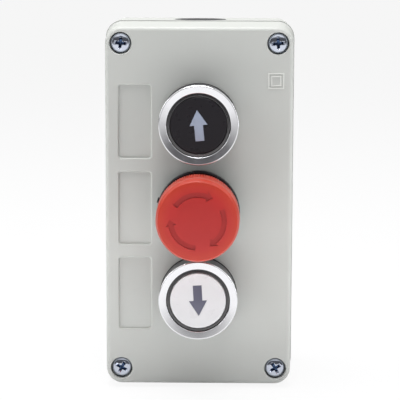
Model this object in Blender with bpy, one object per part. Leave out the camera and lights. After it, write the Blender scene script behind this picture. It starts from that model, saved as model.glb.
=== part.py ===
"""Pushbutton control station: a wall box with an up button, a down button and an emergency stop.

Metres, +Z up, the front faces -Y. The origin is the centre of the rear mounting face.
Each operator is modelled about its own axis: its local origin is on the cover's face, local -Y points
out of the box, and a height is a distance in front of the face (negative inside the box).
"""
import math

import bmesh
import bpy
from mathutils import Vector

MM = 0.001

# Clearances between pieces
SEAT_GAP = 0.3 * MM
RUN_GAP = 0.3 * MM
INSERT_GAP = 0.15 * MM

# Rear housing
BASE_WIDTH = 71.4 * MM
BASE_HEIGHT = 136.8 * MM
BASE_DEPTH = 28.0 * MM
BASE_CORNER_RADIUS = 6.4 * MM
REAR_EDGE_RADIUS = 0.8 * MM
WALL = 3.0 * MM
MOUNTING_HOLE_DIAMETER = 4.6 * MM
MOUNTING_COUNTERSINK_DIAMETER = 8.6 * MM
MOUNTING_COUNTERSINK_DEPTH = 2.0 * MM
MOUNTING_HOLE_INSET_X = 15.0 * MM
MOUNTING_HOLE_INSET_Z = 16.0 * MM

# Cable entry in the top wall and knock-out in the bottom wall
ENTRY_OFFSET = 0.5 * MM
ENTRY_MARGIN = 1.3 * MM
GROMMET_FLANGE = 0.9 * MM
GROMMET_THICKNESS = 1.5 * MM
GROMMET_DISH = 1.0 * MM
KNOCKOUT_GROOVE_WIDTH = 0.8 * MM
KNOCKOUT_WEB = 1.2 * MM

# Front cover
COVER_DEPTH = 21.7 * MM
COVER_STEP = 0.25 * MM
COVER_DRAFT_SIDE = 0.95 * MM
COVER_DRAFT_END = 1.25 * MM
FACE_EDGE_RADIUS = 1.5 * MM
COVER_LIP = 1.0 * MM
GASKET_THICKNESS = 1.2 * MM

# Cover screws and the corner pillars that take them
SCREW_INSET_X = 6.8 * MM
SCREW_INSET_Z = 7.4 * MM
PILLAR_DIAMETER = 11.2 * MM
SCREW_WELL_DIAMETER = 7.7 * MM
SCREW_WELL_DEPTH = 3.6 * MM
SCREW_HEAD_DIAMETER = 6.8 * MM
SCREW_HEAD_HEIGHT = 2.4 * MM
SCREW_SHANK_DIAMETER = 3.5 * MM
SCREW_BITE = 10.0 * MM

# Label recesses beside the operators
RECESS_HEIGHT = 27.0 * MM
RECESS_DEPTH = 0.7 * MM
RECESS_EDGE_MARGIN = 4.95 * MM
RECESS_OPERATOR_MARGIN = 3.25 * MM
RECESS_CORNER_RADIUS = 1.1 * MM

# Operators
HOLE_DIAMETER = 22.3 * MM
BARREL_PLAY = 0.25 * MM
BARREL_LENGTH = 10.0 * MM
OPERATOR_GAP = 2.55 * MM
PANEL_GASKET_WIDTH = 2.85 * MM
PANEL_GASKET_THICKNESS = 1.0 * MM
FLOOR_THICKNESS = 1.5 * MM
STEM_RADIUS = 2.4 * MM
FOOT_RADIUS = 3.2 * MM
FOOT_LENGTH = 1.2 * MM
SPRING_RADIUS = 5.3 * MM
SPRING_WIRE = 0.9 * MM
SPRING_STEPS = 10

# Pushbuttons
BEZEL_DIAMETER = 29.0 * MM
BEZEL_LIP = 0.4 * MM
BEZEL_HEIGHT = 11.8 * MM
BEZEL_CONE_RISE = 0.45 * MM
BEZEL_OPENING = 23.3 * MM
BEZEL_FLOOR = 2.0 * MM
SLEEVE_RIM_WIDTH = 0.95 * MM
SLEEVE_WALL = 0.9 * MM
SLEEVE_FLANGE = 1.3 * MM
SLEEVE_RECESS = 0.9 * MM
CAP_RECESS = 0.4 * MM
CAP_THICKNESS = 1.8 * MM
CAP_SKIRT = 1.1 * MM
BUTTON_TRAVEL = 4.5 * MM
ARROW_LENGTH = 11.3 * MM
ARROW_HEAD_LENGTH = 5.6 * MM
ARROW_HEAD_WIDTH = 6.5 * MM
ARROW_SHAFT_WIDTH = 3.2 * MM
ARROW_DEPTH = 0.6 * MM
UP_ARROW_TURN = math.radians(5.8)
DOWN_ARROW_TURN = math.radians(183.2)

# Emergency stop
HEAD_DIAMETER = 30.0 * MM
HEAD_HEIGHT = 15.1 * MM
HEAD_RIM_DROP = 2.6 * MM
HEAD_SHOULDER = 0.9 * MM
KNURL_LENGTH = 11.3 * MM
KNURL_RIBS = 96
KNURL_DEPTH = 0.35 * MM
NECK_RADIUS = 10.6 * MM
BASE_RING_OVERHANG = 0.15 * MM
BASE_RING_HEIGHT = 7.7 * MM
BASE_FLARE = 1.1 * MM
INDEX_TAB_WIDTH = 1.8 * MM
INDEX_TAB_PROUD = 0.5 * MM
INDEX_TAB_TURN = math.radians(-16)
CUP_FLOOR = 0.6 * MM
CUP_PLAY = 0.6 * MM
STEM_HEAD_RADIUS = 6.7 * MM
STEM_COLLAR_LENGTH = 2.0 * MM
SOCKET_DEPTH = 9.0 * MM
BARREL_WALL = 2.2 * MM
STOP_TRAVEL = 5.5 * MM
TURN_ARROW_RADIUS = 9.45 * MM
TURN_ARROW_BAND = 1.85 * MM
TURN_ARROW_HEAD = 3.35 * MM
TURN_ARROW_DEPTH = 0.45 * MM
TURN_ARROW_START = math.radians(146)
TURN_ARROW_SWEEP = math.radians(89.5)
TURN_ARROW_POINT = math.radians(13)

# Fixing collars behind the cover
COLLAR_SIZE = 28.5 * MM
COLLAR_CORNER_RADIUS = 2.5 * MM
COLLAR_SCREW_INSET = 3.45 * MM
COLLAR_SCREW_RADIUS = 1.5 * MM
COLLAR_SCREW_HEAD_RADIUS = 2.4 * MM
COLLAR_SCREW_HEAD_HEIGHT = 1.3 * MM

# Contact blocks
BLOCK_LENGTH = 34.0 * MM
BLOCK_WIDTH = 11.0 * MM
BLOCK_CENTRE_LENGTH = 15.0 * MM
BLOCK_DEPTH = 22.4 * MM
BLOCK_STEP = 4.0 * MM
BLOCK_LEG_LENGTH = 5.0 * MM
BLOCK_LEG_THICKNESS = 2.0 * MM
PLUNGER_RADIUS = 2.2 * MM
PLUNGER_LENGTH = 8.0 * MM
TERMINAL_INSET = 4.5 * MM
TERMINAL_HEAD_RADIUS = 2.9 * MM
TERMINAL_HEAD_HEIGHT = 1.6 * MM
TERMINAL_SHANK_RADIUS = 1.4 * MM
TERMINAL_SHANK_LENGTH = 6.0 * MM
TERMINAL_WELL_DEPTH = 3.0 * MM
WIRE_ENTRY_SIZE = 4.2 * MM
WIRE_ENTRY_LENGTH = 7.5 * MM

# Facets round a circle
FINE = 28
COARSE = 24
MEDIUM = 16
SMALL = 12
TINY = 8
CORNER_STEPS = 4

# Places that follow from the sizes
FACE_Y = -(BASE_DEPTH + SEAT_GAP + COVER_DEPTH)
RIM_WIDTH = BASE_WIDTH - 2 * COVER_STEP
RIM_HEIGHT = BASE_HEIGHT - 2 * COVER_STEP
RIM_CORNER_RADIUS = BASE_CORNER_RADIUS - COVER_STEP
FACE_WIDTH = RIM_WIDTH - 2 * COVER_DRAFT_SIDE
FACE_HEIGHT = RIM_HEIGHT - 2 * COVER_DRAFT_END
ENTRY_CENTRE_DEPTH = BASE_DEPTH / 2 + ENTRY_OFFSET
ENTRY_RADIUS = ENTRY_CENTRE_DEPTH - WALL - ENTRY_MARGIN
SCREW_X = BASE_WIDTH / 2 - SCREW_INSET_X
SCREW_Z = BASE_HEIGHT / 2 - SCREW_INSET_Z
HEAD_RADIUS = HEAD_DIAMETER / 2
BASE_RING_RADIUS = HEAD_RADIUS + BASE_RING_OVERHANG
OPERATOR_PITCH = BEZEL_DIAMETER / 2 + BASE_RING_RADIUS + OPERATOR_GAP
HOLE_RADIUS = HOLE_DIAMETER / 2
BARREL_RADIUS = HOLE_RADIUS - BARREL_PLAY
PANEL_SEAT = 2 * SEAT_GAP + PANEL_GASKET_THICKNESS
COLLAR_REAR = -(BARREL_LENGTH + SEAT_GAP)
BLOCK_FRONT = COLLAR_REAR - SEAT_GAP
STEM_FLOOR = -BARREL_LENGTH + FLOOR_THICKNESS
FOOT_END = -BARREL_LENGTH - SEAT_GAP - FOOT_LENGTH
STEM_HOLE_RADIUS = STEM_RADIUS + RUN_GAP


def clear_scene():
    for thing in list(bpy.data.objects):
        bpy.data.objects.remove(thing, do_unlink=True)


def make_material(name, colour, roughness, metallic=0.0):
    material = bpy.data.materials.new(name)
    material.use_nodes = True
    shader = material.node_tree.nodes["Principled BSDF"]
    shader.inputs["Base Color"].default_value = (*colour, 1.0)
    shader.inputs["Roughness"].default_value = roughness
    shader.inputs["Metallic"].default_value = metallic
    material.diffuse_color = (*colour, 1.0)
    return material


def add_object(name, mesh_data, material, parent=None):
    """Turns a bmesh into a named object that shares its parent's frame."""
    bmesh.ops.recalc_face_normals(mesh_data, faces=mesh_data.faces)
    mesh = bpy.data.meshes.new(name)
    mesh_data.to_mesh(mesh)
    mesh_data.free()
    if material:
        mesh.materials.append(material)
    mesh.shade_smooth()
    mesh.set_sharp_from_angle(angle=math.radians(30))
    thing = bpy.data.objects.new(name, mesh)
    bpy.context.collection.objects.link(thing)
    thing.parent = parent
    return thing


def subtract(target, cutter):
    """Cuts one object out of another and keeps the cutter out of the model."""
    cutter.hide_render = True
    cutter.display_type = "WIRE"
    modifier = target.modifiers.new("Cut by " + cutter.name, "BOOLEAN")
    modifier.operation = "DIFFERENCE"
    modifier.object = cutter


def unite(target, addition):
    """Joins a hidden solid to an object, as one body."""
    addition.hide_render = True
    addition.display_type = "WIRE"
    modifier = target.modifiers.new("Joined by " + addition.name, "BOOLEAN")
    modifier.operation = "UNION"
    modifier.object = addition


def spin_profile(mesh_data, profile, steps, closed=True, centre=(0.0, 0.0), along="Y"):
    """Turns a profile of (radius, height) points about an axis through the centre.

    Along "Y" the heights run towards -Y and the centre is (x, z). Along "Z" they run up and it is (x, y).
    """
    if along == "Y":
        axis = Vector((0, 1, 0))
        middle = Vector((centre[0], 0, centre[1]))
        points = [middle + Vector((radius, -height, 0)) for radius, height in profile]
    else:
        axis = Vector((0, 0, 1))
        middle = Vector((centre[0], centre[1], 0))
        points = [middle + Vector((radius, 0, height)) for radius, height in profile]
    corners = [mesh_data.verts.new(point) for point in points]
    pairs = list(zip(corners, corners[1:]))
    if closed:
        pairs.append((corners[-1], corners[0]))
    edges = [mesh_data.edges.new(pair) for pair in pairs]
    bmesh.ops.spin(
        mesh_data, geom=corners + edges, cent=middle, axis=axis, angle=math.tau, steps=steps, use_merge=True
    )
    bmesh.ops.remove_doubles(mesh_data, verts=mesh_data.verts, dist=1e-7)


def add_rod(mesh_data, radius, low, high, steps, centre=(0.0, 0.0), along="Y"):
    """A round rod between two heights."""
    profile = [(0, low), (radius, low), (radius, high), (0, high)]
    spin_profile(mesh_data, profile, steps, closed=False, centre=centre, along=along)


def turned(name, profile, steps, material=None, parent=None, closed=True, centre=(0.0, 0.0), along="Y"):
    mesh_data = bmesh.new()
    spin_profile(mesh_data, profile, steps, closed, centre, along)
    return add_object(name, mesh_data, material, parent)


def add_prism(mesh_data, outline, start, end):
    """Extrudes an outline of (x, z) points along Y from start to end."""
    base = [mesh_data.verts.new((x, start, z)) for x, z in outline]
    face = mesh_data.faces.new(base)
    made = bmesh.ops.extrude_face_region(mesh_data, geom=[face])
    moved = [item for item in made["geom"] if isinstance(item, bmesh.types.BMVert)]
    bmesh.ops.translate(mesh_data, verts=moved, vec=(0, end - start, 0))


def prism(name, outline, start, end, material=None, parent=None):
    mesh_data = bmesh.new()
    add_prism(mesh_data, outline, start, end)
    return add_object(name, mesh_data, material, parent)


def lofted(name, loops, material=None, parent=None):
    """Skins loops of equal length, each a list of points, and closes both ends."""
    mesh_data = bmesh.new()
    rings = [[mesh_data.verts.new(point) for point in loop] for loop in loops]
    count = len(rings[0])
    for ring, after in zip(rings, rings[1:]):
        for i in range(count):
            j = (i + 1) % count
            mesh_data.faces.new((ring[i], ring[j], after[j], after[i]))
    mesh_data.faces.new(rings[0])
    mesh_data.faces.new(rings[-1])
    return add_object(name, mesh_data, material, parent)


def rounded_rectangle(width, height, radius, steps=CORNER_STEPS, centre=(0.0, 0.0)):
    """Corner arcs of a rectangle, anticlockwise from the right side."""
    points = []
    for quarter, (sx, sz) in enumerate(((1, 1), (-1, 1), (-1, -1), (1, -1))):
        corner_x = centre[0] + sx * (width / 2 - radius)
        corner_z = centre[1] + sz * (height / 2 - radius)
        for step in range(steps + 1):
            angle = math.radians(90) * (quarter + step / steps)
            points.append((corner_x + radius * math.cos(angle), corner_z + radius * math.sin(angle)))
    return points


def pillared_rectangle(half_width, half_height, steps=CORNER_STEPS):
    """A rectangle with its corners taken out by the round screw pillars."""
    radius = PILLAR_DIAMETER / 2
    low = math.asin((half_width - SCREW_X) / radius)
    high = math.asin((half_height - SCREW_Z) / radius)
    points = []
    for sx, sz, forward in ((1, 1, True), (-1, 1, False), (-1, -1, True), (1, -1, False)):
        # from the side wall round the inner side of the pillar to the end wall
        first = math.radians(270) + low
        last = math.radians(180) - high
        arc = []
        for step in range(steps + 1):
            angle = first + (last - first) * step / steps
            x = SCREW_X + radius * math.cos(angle)
            z = SCREW_Z + radius * math.sin(angle)
            arc.append((sx * x, sz * z))
        points += arc if forward else arc[::-1]
    return points


def turned_outline(outline, angle):
    cos, sin = math.cos(angle), math.sin(angle)
    return [(x * cos - z * sin, x * sin + z * cos) for x, z in outline]


def at_depth(outline, y):
    return [(x, y, z) for x, z in outline]


def corner_places():
    return [(sx * SCREW_X, sz * SCREW_Z) for sz in (1, -1) for sx in (-1, 1)]


# Enclosure

def rear_housing(material):
    inner_half_width = BASE_WIDTH / 2 - WALL
    inner_half_height = BASE_HEIGHT / 2 - WALL
    loops = []
    for step in range(3):
        angle = math.radians(90) * step / 2
        inset = REAR_EDGE_RADIUS * (1 - math.sin(angle))
        y = -REAR_EDGE_RADIUS * (1 - math.cos(angle))
        outline = rounded_rectangle(
            BASE_WIDTH - 2 * inset, BASE_HEIGHT - 2 * inset, BASE_CORNER_RADIUS - inset
        )
        loops.append(at_depth(outline, y))
    loops.append(at_depth(rounded_rectangle(BASE_WIDTH, BASE_HEIGHT, BASE_CORNER_RADIUS), -BASE_DEPTH))
    housing = lofted("rear_housing", loops, material)

    cavity = pillared_rectangle(inner_half_width, inner_half_height)
    subtract(housing, prism("housing_cavity", cavity, -WALL, -BASE_DEPTH - WALL))

    pilot = bmesh.new()
    pilot_radius = SCREW_SHANK_DIAMETER / 2 + RUN_GAP
    pilot_depth = BASE_DEPTH - SCREW_BITE - 2 * SEAT_GAP
    for place in corner_places():
        add_rod(pilot, pilot_radius, pilot_depth, BASE_DEPTH + WALL, TINY, place)
    subtract(housing, add_object("pilot_holes", pilot, None))

    fixing = bmesh.new()
    hole = MOUNTING_HOLE_DIAMETER / 2
    sink = MOUNTING_COUNTERSINK_DIAMETER / 2
    profile = [
        (0, -WALL), (hole, -WALL), (hole, WALL - MOUNTING_COUNTERSINK_DEPTH), (sink, WALL),
        (sink, WALL + SEAT_GAP), (0, WALL + SEAT_GAP),
    ]
    reach_x = BASE_WIDTH / 2 - MOUNTING_HOLE_INSET_X
    reach_z = BASE_HEIGHT / 2 - MOUNTING_HOLE_INSET_Z
    for sx in (-1, 1):
        for sz in (-1, 1):
            place = (sx * reach_x, sz * reach_z)
            spin_profile(fixing, profile, TINY, closed=False, centre=place)
    subtract(housing, add_object("mounting_holes", fixing, None))

    openings = bmesh.new()
    top = BASE_HEIGHT / 2
    groove = ENTRY_RADIUS - KNOCKOUT_GROOVE_WIDTH
    middle = (0.0, -ENTRY_CENTRE_DEPTH)
    add_rod(openings, ENTRY_RADIUS, top - WALL - SEAT_GAP, top + WALL, COARSE, middle, "Z")
    profile = [
        (groove, -top - WALL), (ENTRY_RADIUS, -top - WALL), (ENTRY_RADIUS, -top + WALL - KNOCKOUT_WEB),
        (groove, -top + WALL - KNOCKOUT_WEB),
    ]
    spin_profile(openings, profile, COARSE, centre=middle, along="Z")
    subtract(housing, add_object("cable_entries", openings, None))
    return housing


def cable_entry_grommet(material):
    top = BASE_HEIGHT / 2
    outer = ENTRY_RADIUS - RUN_GAP
    flange = outer + GROMMET_FLANGE + RUN_GAP
    shelf = top - WALL - SEAT_GAP
    dish = outer * 0.75
    hub = outer * 0.65
    profile = [
        (0, top - GROMMET_DISH), (hub, top - GROMMET_DISH), (dish, top), (outer, top), (outer, shelf),
        (flange, shelf), (flange, shelf - GROMMET_THICKNESS), (dish, shelf - GROMMET_THICKNESS),
        (hub, top - GROMMET_DISH - GROMMET_THICKNESS), (0, top - GROMMET_DISH - GROMMET_THICKNESS),
    ]
    middle = (0.0, -ENTRY_CENTRE_DEPTH)
    return turned("cable_entry_grommet", profile, COARSE, material, closed=False, centre=middle, along="Z")


def front_cover(material):
    rim_y = -(BASE_DEPTH + SEAT_GAP)
    loops = [at_depth(rounded_rectangle(RIM_WIDTH, RIM_HEIGHT, RIM_CORNER_RADIUS), rim_y)]
    face_corner = RIM_CORNER_RADIUS - COVER_DRAFT_SIDE / 2
    for step in range(4):
        angle = math.radians(30) * step
        inset = FACE_EDGE_RADIUS * (1 - math.cos(angle))
        y = FACE_Y + FACE_EDGE_RADIUS * (1 - math.sin(angle))
        outline = rounded_rectangle(FACE_WIDTH - 2 * inset, FACE_HEIGHT - 2 * inset, face_corner - inset)
        loops.append(at_depth(outline, y))
    cover = lofted("front_cover", loops, material)

    rebate_y = rim_y - GASKET_THICKNESS - SEAT_GAP
    rebate = rounded_rectangle(
        RIM_WIDTH - 2 * COVER_LIP, RIM_HEIGHT - 2 * COVER_LIP, RIM_CORNER_RADIUS - COVER_LIP
    )
    subtract(cover, prism("cover_rebate", rebate, rim_y + WALL, rebate_y))

    open_end = pillared_rectangle(RIM_WIDTH / 2 - WALL, RIM_HEIGHT / 2 - WALL)
    closed_end = pillared_rectangle(FACE_WIDTH / 2 - WALL, FACE_HEIGHT / 2 - WALL)
    loops = [at_depth(open_end, rim_y + WALL), at_depth(open_end, rim_y), at_depth(closed_end, FACE_Y + WALL)]
    subtract(cover, lofted("cover_cavity", loops))

    holes = bmesh.new()
    out = -FACE_Y
    for place in operator_places():
        add_rod(holes, HOLE_RADIUS, out - 2 * WALL, out + WALL, FINE, (0.0, place))
    well = SCREW_WELL_DIAMETER / 2
    shank = SCREW_SHANK_DIAMETER / 2 + RUN_GAP
    for place in corner_places():
        profile = [
            (0, BASE_DEPTH - WALL), (shank, BASE_DEPTH - WALL), (shank, out - SCREW_WELL_DEPTH),
            (well, out - SCREW_WELL_DEPTH), (well, out + WALL), (0, out + WALL),
        ]
        spin_profile(holes, profile, MEDIUM, closed=False, centre=place)
    subtract(cover, add_object("cover_holes", holes, None))

    recesses = bmesh.new()
    left = -FACE_WIDTH / 2 + RECESS_EDGE_MARGIN
    right = -BEZEL_DIAMETER / 2 - RECESS_OPERATOR_MARGIN
    for place in operator_places():
        outline = rounded_rectangle(
            right - left, RECESS_HEIGHT, RECESS_CORNER_RADIUS, steps=2, centre=((left + right) / 2, place)
        )
        add_prism(recesses, outline, FACE_Y + RECESS_DEPTH, FACE_Y - WALL)
    subtract(cover, add_object("label_recesses", recesses, None))
    return cover


def cover_gasket(material):
    near = -(BASE_DEPTH + SEAT_GAP)
    margin = COVER_LIP + RUN_GAP
    outline = rounded_rectangle(
        RIM_WIDTH - 2 * margin, RIM_HEIGHT - 2 * margin, RIM_CORNER_RADIUS - margin
    )
    gasket = prism("cover_gasket", outline, near, near - GASKET_THICKNESS, material)
    window = pillared_rectangle(RIM_WIDTH / 2 - WALL, RIM_HEIGHT / 2 - WALL)
    subtract(gasket, prism("gasket_window", window, near + WALL, near - 2 * WALL))
    holes = bmesh.new()
    radius = SCREW_SHANK_DIAMETER / 2 + RUN_GAP
    for place in corner_places():
        add_rod(holes, radius, BASE_DEPTH - WALL, BASE_DEPTH + 2 * WALL, TINY, place)
    subtract(gasket, add_object("gasket_holes", holes, None))
    return gasket


def cross_recess(name, radius, width, top, depth, place):
    """A plus-shaped driver recess, sunk from its top height."""
    half = width / 2
    outline = []
    for turn in range(4):
        angle = math.radians(90) * turn
        for x, z in ((half, half), (radius, half), (radius, -half)):
            spot_x = x * math.cos(angle) + z * math.sin(angle)
            spot_z = -x * math.sin(angle) + z * math.cos(angle)
            outline.append((place[0] + spot_x, place[1] + spot_z))
    return prism(name, outline, -(top - depth), -(top + depth))


def cover_screw(name, place, material):
    seat = -FACE_Y - SCREW_WELL_DEPTH + SEAT_GAP
    top = seat + SCREW_HEAD_HEIGHT
    head = SCREW_HEAD_DIAMETER / 2
    shank = SCREW_SHANK_DIAMETER / 2
    tip = BASE_DEPTH - SCREW_BITE
    profile = [
        (0, top), (head * 0.6, top - 0.1 * SCREW_HEAD_HEIGHT), (head * 0.9, top - 0.4 * SCREW_HEAD_HEIGHT),
        (head, top - 0.7 * SCREW_HEAD_HEIGHT), (head, seat), (shank, seat), (shank, tip + shank),
        (shank * 0.5, tip), (0, tip),
    ]
    screw = turned(name, profile, SMALL, material, closed=False, centre=place)
    recess = cross_recess(name + "_recess", head * 0.62, head * 0.3, top, SCREW_HEAD_HEIGHT * 0.55, place)
    subtract(screw, recess)
    return screw


# Operators

def operator_places():
    """Heights of the up button, the emergency stop and the down button."""
    return (OPERATOR_PITCH, 0.0, -OPERATOR_PITCH)


def operator_axis(name, place):
    axis = bpy.data.objects.new(name, None)
    bpy.context.collection.objects.link(axis)
    axis.location = (0, FACE_Y, place)
    return axis


def panel_gasket(name, material, axis):
    inner = BARREL_RADIUS + 2 * RUN_GAP
    outer = inner + PANEL_GASKET_WIDTH
    near = SEAT_GAP
    far = near + PANEL_GASKET_THICKNESS
    return turned(name, [(inner, near), (outer, near), (outer, far), (inner, far)], MEDIUM, material, axis)


def spring(name, bottom, top, turns, material, axis):
    """A round-wire coil about the operator's axis, between two heights."""
    curve = bpy.data.curves.new(name, "CURVE")
    curve.dimensions = "3D"
    curve.bevel_depth = SPRING_WIRE / 2
    curve.bevel_resolution = 0
    curve.use_fill_caps = True
    line = curve.splines.new("POLY")
    count = turns * SPRING_STEPS
    line.points.add(count)
    low = bottom + SEAT_GAP + SPRING_WIRE / 2
    high = top - SEAT_GAP - SPRING_WIRE / 2
    for step in range(count + 1):
        angle = math.tau * turns * step / count
        height = low + (high - low) * step / count
        x = SPRING_RADIUS * math.cos(angle)
        z = SPRING_RADIUS * math.sin(angle)
        line.points[step].co = (x, -height, z, 1)
    curve.materials.append(material)
    coil = bpy.data.objects.new(name, curve)
    bpy.context.collection.objects.link(coil)
    coil.parent = axis
    return coil


def stem_profile(shoulder):
    """The stem below a shoulder height, down to the snap foot that keeps it in its guide."""
    neck = -BARREL_LENGTH - SEAT_GAP
    return [
        (STEM_RADIUS, shoulder), (STEM_RADIUS, neck), (FOOT_RADIUS, neck),
        (FOOT_RADIUS, neck - 0.4 * FOOT_LENGTH), (STEM_RADIUS, FOOT_END), (0, FOOT_END),
    ]


def fixing_collar(name, material, axis):
    near = WALL + SEAT_GAP
    outline = rounded_rectangle(COLLAR_SIZE, COLLAR_SIZE, COLLAR_CORNER_RADIUS, steps=3)
    collar = prism(name, outline, near, -COLLAR_REAR, material, axis)
    holes = bmesh.new()
    bore = BARREL_RADIUS + RUN_GAP
    low = COLLAR_REAR - WALL
    add_rod(holes, bore, low, 0, COARSE)
    radius = COLLAR_SCREW_RADIUS + RUN_GAP
    for place in collar_screw_places():
        add_rod(holes, radius, low, 0, TINY, place)
    subtract(collar, add_object(name + "_holes", holes, None, axis))
    return collar


def collar_screw_places():
    reach = COLLAR_SIZE / 2 - COLLAR_SCREW_INSET
    return ((-reach, reach), (reach, -reach))


def slotted_screw(name, seat, tip, head_radius, head_height, shank_radius, place, material, axis):
    """A pan-head screw whose head lies below its seat height and whose tip is above it."""
    end = seat - head_height
    rim = 0.35 * head_height
    profile = [
        (0, tip), (shank_radius, tip), (shank_radius, seat), (head_radius, seat), (head_radius, end + rim),
        (head_radius - rim, end), (0, end),
    ]
    screw = turned(name, profile, TINY, material, axis, closed=False, centre=place)
    half = 0.16 * head_radius
    left, right = place[0] - 2 * head_radius, place[0] + 2 * head_radius
    low, high = place[1] - half, place[1] + half
    slot = [(left, low), (right, low), (right, high), (left, high)]
    slot_floor = end + 0.5 * head_height
    subtract(screw, prism(name + "_slot", slot, -slot_floor, -(end - head_height), None, axis))
    return screw


def contact_block(name, travel, material, axis):
    """A clip-on contact block: legs round the collar, a plunger well, wire entries and terminal wells."""
    front = -BLOCK_FRONT
    half = BLOCK_LENGTH / 2
    leg_inner = COLLAR_SIZE / 2 + RUN_GAP
    leg_middle = leg_inner + BLOCK_LEG_THICKNESS / 2
    leg_outer = leg_inner + BLOCK_LEG_THICKNESS
    leg_tip = front - BLOCK_LEG_LENGTH
    shoulder = front + BLOCK_DEPTH - BLOCK_STEP
    rear = front + BLOCK_DEPTH
    centre = BLOCK_CENTRE_LENGTH / 2
    right_side = [
        (leg_inner, front), (leg_inner, leg_tip + BLOCK_LEG_THICKNESS / 2), (leg_middle, leg_tip),
        (leg_outer, leg_tip), (leg_outer, front), (half, front), (half, shoulder), (centre, shoulder),
        (centre, rear),
    ]
    outline = right_side + [(-x, y) for x, y in reversed(right_side)]
    sides = (-BLOCK_WIDTH / 2, BLOCK_WIDTH / 2)
    block = lofted(name, [[(x, y, side) for x, y in outline] for side in sides], material, axis)

    wells = bmesh.new()
    mouth = BLOCK_FRONT + WALL
    well = FOOT_RADIUS + 2 * RUN_GAP
    well_floor = FOOT_END - travel - SEAT_GAP
    guide = PLUNGER_RADIUS + RUN_GAP
    guide_floor = FOOT_END - SEAT_GAP - PLUNGER_LENGTH - travel - SEAT_GAP
    profile = [
        (0, mouth), (well, mouth), (well, well_floor), (guide, well_floor), (guide, guide_floor),
        (0, guide_floor),
    ]
    spin_profile(wells, profile, SMALL, closed=False)
    terminal = TERMINAL_HEAD_RADIUS + RUN_GAP
    shank = TERMINAL_SHANK_RADIUS + RUN_GAP
    seat = TERMINAL_WELL_DEPTH - shoulder
    shank_end = seat + TERMINAL_SHANK_LENGTH + 2 * SEAT_GAP
    profile = [
        (0, -shoulder - WALL), (terminal, -shoulder - WALL), (terminal, seat), (shank, seat),
        (shank, shank_end), (0, shank_end),
    ]
    for place in terminal_places():
        spin_profile(wells, profile, TINY, closed=False, centre=place)
    subtract(block, add_object(name + "_wells", wells, None, axis))

    entries = bmesh.new()
    entry_y = shoulder - TERMINAL_WELL_DEPTH - TERMINAL_SHANK_LENGTH / 2
    for side in (-1, 1):
        outline = rounded_rectangle(
            2 * WIRE_ENTRY_LENGTH, WIRE_ENTRY_SIZE, WIRE_ENTRY_SIZE / 4, steps=1, centre=(side * half, 0.0)
        )
        add_prism(entries, outline, entry_y - WIRE_ENTRY_SIZE / 2, entry_y + WIRE_ENTRY_SIZE / 2)
    subtract(block, add_object(name + "_wire_entries", entries, None, axis))
    return block


def terminal_places():
    reach = BLOCK_LENGTH / 2 - TERMINAL_INSET
    return ((-reach, 0.0), (reach, 0.0))


def contact_plunger(name, material, axis):
    top = FOOT_END - SEAT_GAP
    nose = PLUNGER_RADIUS * 0.3
    profile = [
        (0, top), (PLUNGER_RADIUS - nose, top), (PLUNGER_RADIUS, top - nose),
        (PLUNGER_RADIUS, top - PLUNGER_LENGTH), (0, top - PLUNGER_LENGTH),
    ]
    return turned(name, profile, SMALL, material, axis, closed=False)


def behind_the_panel(prefix, travel, block_material, materials, axis):
    """What every operator has behind the cover: a collar, its screws and a contact block."""
    fixing_collar(prefix + "_fixing_collar", materials["zinc"], axis)
    tip = -(WALL + SEAT_GAP)
    head = COLLAR_REAR - SEAT_GAP
    for number, place in enumerate(collar_screw_places(), 1):
        name = f"{prefix}_collar_screw_{number}"
        slotted_screw(
            name, head, tip, COLLAR_SCREW_HEAD_RADIUS, COLLAR_SCREW_HEAD_HEIGHT, COLLAR_SCREW_RADIUS, place,
            materials["steel"], axis,
        )
    contact_block(prefix + "_contact_block", travel, block_material, axis)
    contact_plunger(prefix + "_contact_plunger", materials["black"], axis)
    step = BLOCK_FRONT - BLOCK_DEPTH + BLOCK_STEP
    seat = step + TERMINAL_WELL_DEPTH - SEAT_GAP
    for number, place in enumerate(terminal_places(), 1):
        name = f"{prefix}_terminal_screw_{number}"
        slotted_screw(
            name, seat, seat + TERMINAL_SHANK_LENGTH, TERMINAL_HEAD_RADIUS, TERMINAL_HEAD_HEIGHT,
            TERMINAL_SHANK_RADIUS, place, materials["steel"], axis,
        )


# Pushbuttons

def bezel(name, material, axis):
    rim = BEZEL_DIAMETER / 2
    body = rim - BEZEL_LIP
    opening = BEZEL_OPENING / 2
    top = PANEL_SEAT + BEZEL_HEIGHT
    edge = top - BEZEL_CONE_RISE
    ledge = PANEL_SEAT + BEZEL_FLOOR
    bore = BARREL_RADIUS - BARREL_WALL
    profile = [
        (body, PANEL_SEAT), (body, edge - 3 * BEZEL_LIP), (rim, edge - 2 * BEZEL_LIP),
        (rim, edge - BEZEL_LIP / 2), (rim - BEZEL_LIP / 2, edge), (opening + BEZEL_LIP / 2, top),
        (opening, top - BEZEL_LIP / 2), (opening, ledge), (bore, ledge), (bore, -BARREL_LENGTH),
        (BARREL_RADIUS, -BARREL_LENGTH), (BARREL_RADIUS, PANEL_SEAT),
    ]
    return turned(name, profile, FINE, material, axis)


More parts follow.
